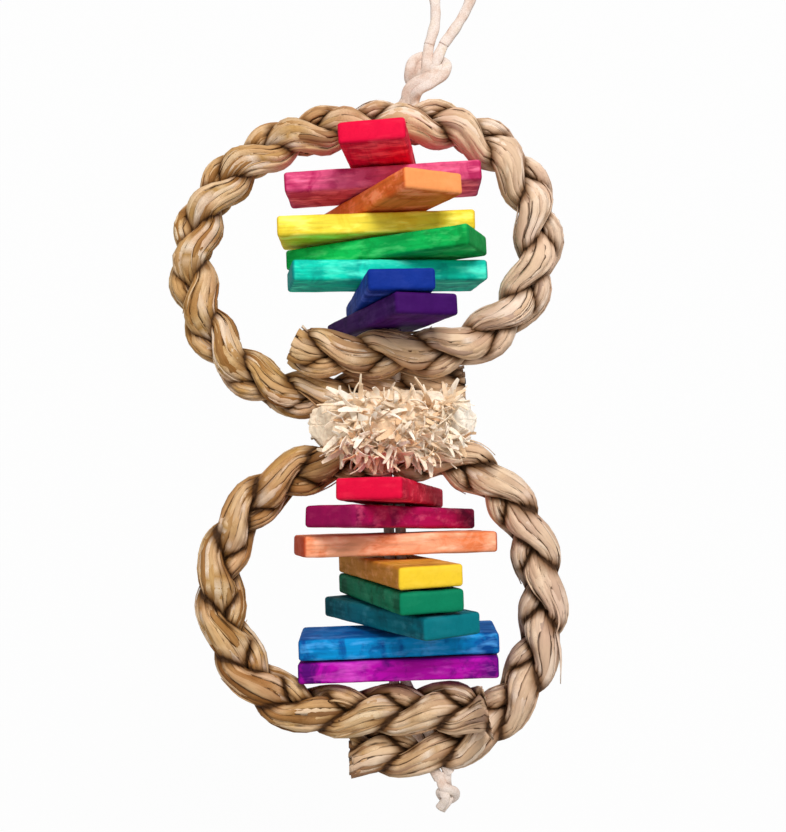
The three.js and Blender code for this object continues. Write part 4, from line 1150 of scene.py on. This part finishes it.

# %% [markdown]
# ## The wood shavings
# Between the rings a wad of pale shavings is squeezed round the lace. Its ends are pressed smooth, and
# between them thin curled strips burst out from the middle of its front. The CAD halves of the wad are
# remeshed into a lumpy crumb, and a tree plants a curled strip at hundreds of chance points on it. The
# upper half stays with the upper ring, and the lower half stays where it lies.

# %% A tree for the shavings
WAD_SIZES = (
    "Shrink", "Lump", "Lump Size", "Density", "Strip Length", "Strip Width", "Strip Thickness", "Curl",
    "Lean Out", "Split Level", "Burst Pull", "Bare End", "Smooth End", "Fringe Height", "Seam Lap")
SEAM_RUN = (0.5 * MM, 4 * MM)
BARE_LEAN = 0.6
wad_tree, given = new_tree("wood_shavings", {
    **dict.fromkeys(WAD_SIZES, "Float"), "Burst": "Vector", "Seed": "Int", "Material": "Material"})
position = add(wad_tree, "GeometryNodeInputPosition")
spot = add(wad_tree, SEPARATE, [position]).outputs
normal = add(wad_tree, "GeometryNodeInputNormal")
per_lump = add(wad_tree, MATH, [1.0, given["Lump Size"]], operation="DIVIDE")
lumps = add(wad_tree, NOISE, {"Vector": position, "Scale": per_lump, "Detail": 4.0, "Roughness": 0.85})
for operation, amount in (("SUBTRACT", 0.5), ("MULTIPLY", given["Lump"]), ("SUBTRACT", given["Shrink"])):
    lumps = add(wad_tree, MATH, [lumps, amount], operation=operation)
off_split = add(wad_tree, MATH, [spot[2], given["Split Level"]], operation="SUBTRACT")
off_split = add(wad_tree, MATH, [off_split], operation="ABSOLUTE")
loose = add(wad_tree, MAP_RANGE, [off_split, *SEAM_RUN])
level = add(wad_tree, COMBINE, [1.0, 1.0, loose])
push = add(wad_tree, VECTOR_MATH, {0: normal, "Scale": lumps}, operation="SCALE")
push = add(wad_tree, VECTOR_MATH, [push, level], operation="MULTIPLY")
seam = add(wad_tree, MATH, [1.0, loose], operation="SUBTRACT")
seam = add(wad_tree, MATH, [seam, given["Seam Lap"]], operation="MULTIPLY")
seam = add(wad_tree, COMBINE, {2: seam})
push = add(wad_tree, VECTOR_MATH, [push, seam], operation="ADD")
crumb = add(wad_tree, SET_POSITION, {"Geometry": given["Geometry"], "Offset": push})
crumb = add(wad_tree, "GeometryNodeSetShadeSmooth", {"Geometry": crumb, "Shade Smooth": False})

from_left = add(wad_tree, MATH, [spot[1], 0.0], operation="MAXIMUM")
from_left = add(wad_tree, MATH, [from_left, BARE_LEAN, spot[0]], operation="MULTIPLY_ADD")
free_skin = add(wad_tree, COMPARE, [off_split, SEAM_RUN[0]], data_type="FLOAT", operation="GREATER_THAN")
for value, limit, rule in (
        (from_left, "Bare End", "GREATER_THAN"), (off_split, "Fringe Height", "LESS_THAN"),
        (spot[0], "Smooth End", "LESS_THAN")):
    test = add(wad_tree, COMPARE, [value, given[limit]], data_type="FLOAT", operation=rule)
    free_skin = add(wad_tree, "FunctionNodeBooleanMath", [free_skin, test], operation="AND")
planted = add(wad_tree, "GeometryNodeDistributePointsOnFaces", {
    "Mesh": crumb, "Selection": free_skin, "Density": given["Density"], "Seed": given["Seed"]})
seeds = [add(wad_tree, MATH, [given["Seed"], float(k)], operation="ADD") for k in range(1, 7)]
stray, other = (
    add(wad_tree, RANDOM, {0: (-1.0, -1.0, -1.0), 1: (1.0, 1.0, 1.0), "Seed": seed}, data_type="FLOAT_VECTOR")
    for seed in seeds[:2])
longer, wider, curlier, tone = (
    add(wad_tree, RANDOM, {2: low, 3: high, "Seed": seed}, data_type="FLOAT")
    for seed, (low, high) in zip(seeds[2:], ((0.35, 1.25), (0.4, 1.4), (0.15, 1.0), (0.0, 1.0))))
from_burst = add(wad_tree, VECTOR_MATH, [position, given["Burst"]], operation="SUBTRACT")
outward = add(wad_tree, VECTOR_MATH, [from_burst], operation="NORMALIZE")
heading = stray
for way, amount in ((planted.outputs["Normal"], "Lean Out"), (outward, "Burst Pull")):
    pull = add(wad_tree, VECTOR_MATH, {0: way, "Scale": given[amount]}, operation="SCALE")
    heading = add(wad_tree, VECTOR_MATH, [heading, pull], operation="ADD")
heading = add(wad_tree, VECTOR_MATH, [heading], operation="NORMALIZE")
width_way = add(wad_tree, VECTOR_MATH, [heading, other], operation="CROSS_PRODUCT")
width_way = add(wad_tree, VECTOR_MATH, [width_way], operation="NORMALIZE")
curl_way = add(wad_tree, VECTOR_MATH, [heading, width_way], operation="CROSS_PRODUCT")
strip_length, strip_width, strip_curl = (
    add(wad_tree, MATH, [share, given[size]], operation="MULTIPLY")
    for share, size in ((longer, "Strip Length"), (wider, "Strip Width"), (curlier, "Curl")))
dealt = planted.outputs["Points"]
ways = {"home": position, "heading": heading, "width_way": width_way, "curl_way": curl_way}
measures = {"strip_length": strip_length, "strip_width": strip_width, "strip_curl": strip_curl, "tone": tone}
for title, value in {**ways, **measures}.items():
    dealt = add(wad_tree, STORE, {"Geometry": dealt, "Name": title, "Value": value},
                data_type="FLOAT_VECTOR" if title in ways else "FLOAT", domain="POINT")
print("shavings are planted by", len(wad_tree.nodes), "nodes")

# %% Curl the strips and end the tree
STRIP_POINTS = 9
TIP_NARROWING = -0.6
LEFT_SHARE = -0.5
PALE_RUN = (5 * MM, 20 * MM)
strip = add(wad_tree, "GeometryNodeMeshCube", {
    "Size": (1.0, 1.0, 1.0), "Vertices X": STRIP_POINTS, "Vertices Y": 2, "Vertices Z": 2})
strip = add(wad_tree, STORE, {
    "Geometry": strip, "Name": "local", "Value": add(wad_tree, "GeometryNodeInputPosition")},
    data_type="FLOAT_VECTOR", domain="POINT")
strips = add(wad_tree, "GeometryNodeInstanceOnPoints", {"Points": dealt, "Instance": strip})
strips = add(wad_tree, "GeometryNodeRealizeInstances", {"Geometry": strips})
kept = {}
for title in ("strip_length", "strip_width", "strip_curl"):
    kept[title] = add(wad_tree, STORED, {"Name": title}, data_type="FLOAT")
for title in (*ways, "local"):
    kept[title] = add(wad_tree, STORED, {"Name": title}, data_type="FLOAT_VECTOR")
axes = add(wad_tree, SEPARATE, [kept["local"]]).outputs
share = add(wad_tree, MATH, [axes[0], 0.5], operation="ADD")
bent = add(wad_tree, MATH, [share, kept["strip_curl"]], operation="MULTIPLY")
sine = add(wad_tree, MATH, [bent], operation="SINE")
cosine = add(wad_tree, MATH, [bent], operation="COSINE")
radius = add(wad_tree, MATH, [kept["strip_length"], kept["strip_curl"]], operation="DIVIDE")
deep = add(wad_tree, MATH, [axes[2], given["Strip Thickness"]], operation="MULTIPLY")
short = add(wad_tree, MATH, [radius, deep], operation="SUBTRACT")
forward = add(wad_tree, MATH, [sine, short], operation="MULTIPLY")
aside = add(wad_tree, MATH, [cosine, short], operation="MULTIPLY")
aside = add(wad_tree, MATH, [radius, aside], operation="SUBTRACT")
narrow = add(wad_tree, MATH, [share, 3.0], operation="POWER")
narrow = add(wad_tree, MATH, [narrow, TIP_NARROWING, 1.0], operation="MULTIPLY_ADD")
sideways = add(wad_tree, MATH, [axes[1], kept["strip_width"]], operation="MULTIPLY")
sideways = add(wad_tree, MATH, [sideways, narrow], operation="MULTIPLY")
place = kept["home"]
for way, amount in (("heading", forward), ("width_way", sideways), ("curl_way", aside)):
    place = add(wad_tree, VECTOR_MATH, [kept[way], amount, place], operation="MULTIPLY_ADD")
strips = add(wad_tree, SET_POSITION, {"Geometry": strips, "Position": place})
off_middle = add(wad_tree, SEPARATE, [from_burst]).outputs[0]
left_part = add(wad_tree, MATH, [off_middle, LEFT_SHARE], operation="MULTIPLY")
off_middle = add(wad_tree, MATH, [off_middle, left_part], operation="MAXIMUM")
paler = add(wad_tree, MAP_RANGE, [off_middle, *PALE_RUN, 0.2, 0.95])
crumb = add(wad_tree, STORE, {"Geometry": crumb, "Name": "tone", "Value": paler},
            data_type="FLOAT", domain="POINT")
wad = add(wad_tree, "GeometryNodeJoinGeometry", {"Geometry": crumb})
wad_tree.links.new(strips.outputs[0], wad.inputs[0])
wad = add(wad_tree, "GeometryNodeRealizeInstances", {"Geometry": wad})
wad = add(wad_tree, "GeometryNodeSetMaterial", {"Geometry": wad, "Material": given["Material"]})
add(wad_tree, "NodeGroupOutput", {"Geometry": wad})
print("wood_shavings has", len(wad_tree.nodes), "nodes")

# %% [markdown]
# ### The finish of the shavings
# Fresh poplar shavings are cream to nearly white, and more peach in the middle of the wad. Each strip takes
# its own tone, and a fine grain runs through all of them.

# %% Poplar shavings
# Poplar shavings: raw, planed, pale wood, so it is matt and finely grained
CRUMB_SIZE = 1.2 * MM
poplar, tree, output = new_material("poplar_shavings")
tone = add(tree, ATTRIBUTE, attribute_name="tone").outputs["Fac"]
strip_colour = add(tree, RAMP, {"Fac": tone}, stops=[
    (0.0, "#E2B68E"), (0.12, "#F0D2AE"), (0.32, "#F9E6CC"), (0.7, "#FCF0DE"), (1.0, "#FEF7EC")])
place = add(tree, "ShaderNodeTexCoord").outputs["Object"]
crumbs = add(tree, NOISE, {"Vector": place, "Scale": 1 / CRUMB_SIZE, "Detail": 4.0, "Roughness": 0.7})
crumb_shade = add(tree, RAMP, {"Fac": crumbs}, stops=[(0.3, "#DCAE88"), (0.5, "#FFF8EE")])
pale = add(tree, MIX, {0: 0.45, 6: strip_colour, 7: crumb_shade}, data_type="RGBA", blend_type="MULTIPLY")
bump = add(tree, "ShaderNodeBump", {"Height": crumbs, "Strength": 0.6, "Distance": 0.4 * MM})
skin = add(tree, PRINCIPLED, {
    "Base Color": pale, "Roughness": 0.8, "IOR": 1.45, "Specular IOR Level": 0.25, "Normal": bump})
tree.links.new(skin.outputs[0], output.inputs["Surface"])
print("poplar_shavings has", len(tree.nodes), "nodes")

# %% Fluff up both halves of the wad
WAD_VOXEL = 1.1 * MM
# Each half of the wad, the height of its fringe of strips and its lap over the seam between the halves
HALVES = (("upper", 6.5 * MM, -0.35 * MM), ("lower", 10 * MM, 0.35 * MM))
STRIPS = {
    "Shrink": 1.4 * MM, "Lump": 2.4 * MM, "Lump Size": 3.6 * MM, "Density": 0.55 / MM ** 2,
    "Strip Length": 7.0 * MM, "Strip Width": 1.6 * MM, "Strip Thickness": 0.24 * MM, "Curl": 1.6,
    "Lean Out": 0.1, "Burst": (lace_x - 2 * MM, -6 * MM, twist_z), "Burst Pull": 0.7,
    "Bare End": lace_x - 15 * MM, "Smooth End": lace_x + 18 * MM, "Split Level": twist_z, "Material": poplar}
for number, (half, fringe, lap) in enumerate(HALVES):
    node = "shavings_" + half
    solid = frame["nodes"][node].data.copy()
    merge = bmesh.new()
    merge.from_mesh(solid)
    bmesh.ops.remove_doubles(merge, verts=merge.verts, dist=0.01 * MM)
    merge.to_mesh(solid)
    merge.free()
    fluff = bpy.data.objects.new(half + "_wood_shavings", solid)
    bpy.context.scene.collection.objects.link(fluff)
    remesh = fluff.modifiers.new("remesh", "REMESH")
    remesh.mode = "VOXEL"
    remesh.voxel_size = WAD_VOXEL
    view = bpy.context.evaluated_depsgraph_get()
    crumb_mesh = bpy.data.meshes.new_from_object(fluff.evaluated_get(view), depsgraph=view)
    fluff.modifiers.remove(remesh)
    crumb_mesh.materials.clear()
    fluff.data = crumb_mesh
    grow(fluff, wad_tree, {**STRIPS, "Fringe Height": fringe, "Seam Lap": lap, "Seed": 5 + 20 * number})
    if half == "upper":
        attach(fluff, "upper_tier")
    else:
        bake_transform(fluff)
    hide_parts(node)
    print(fluff.name, triangles(fluff), "triangles")
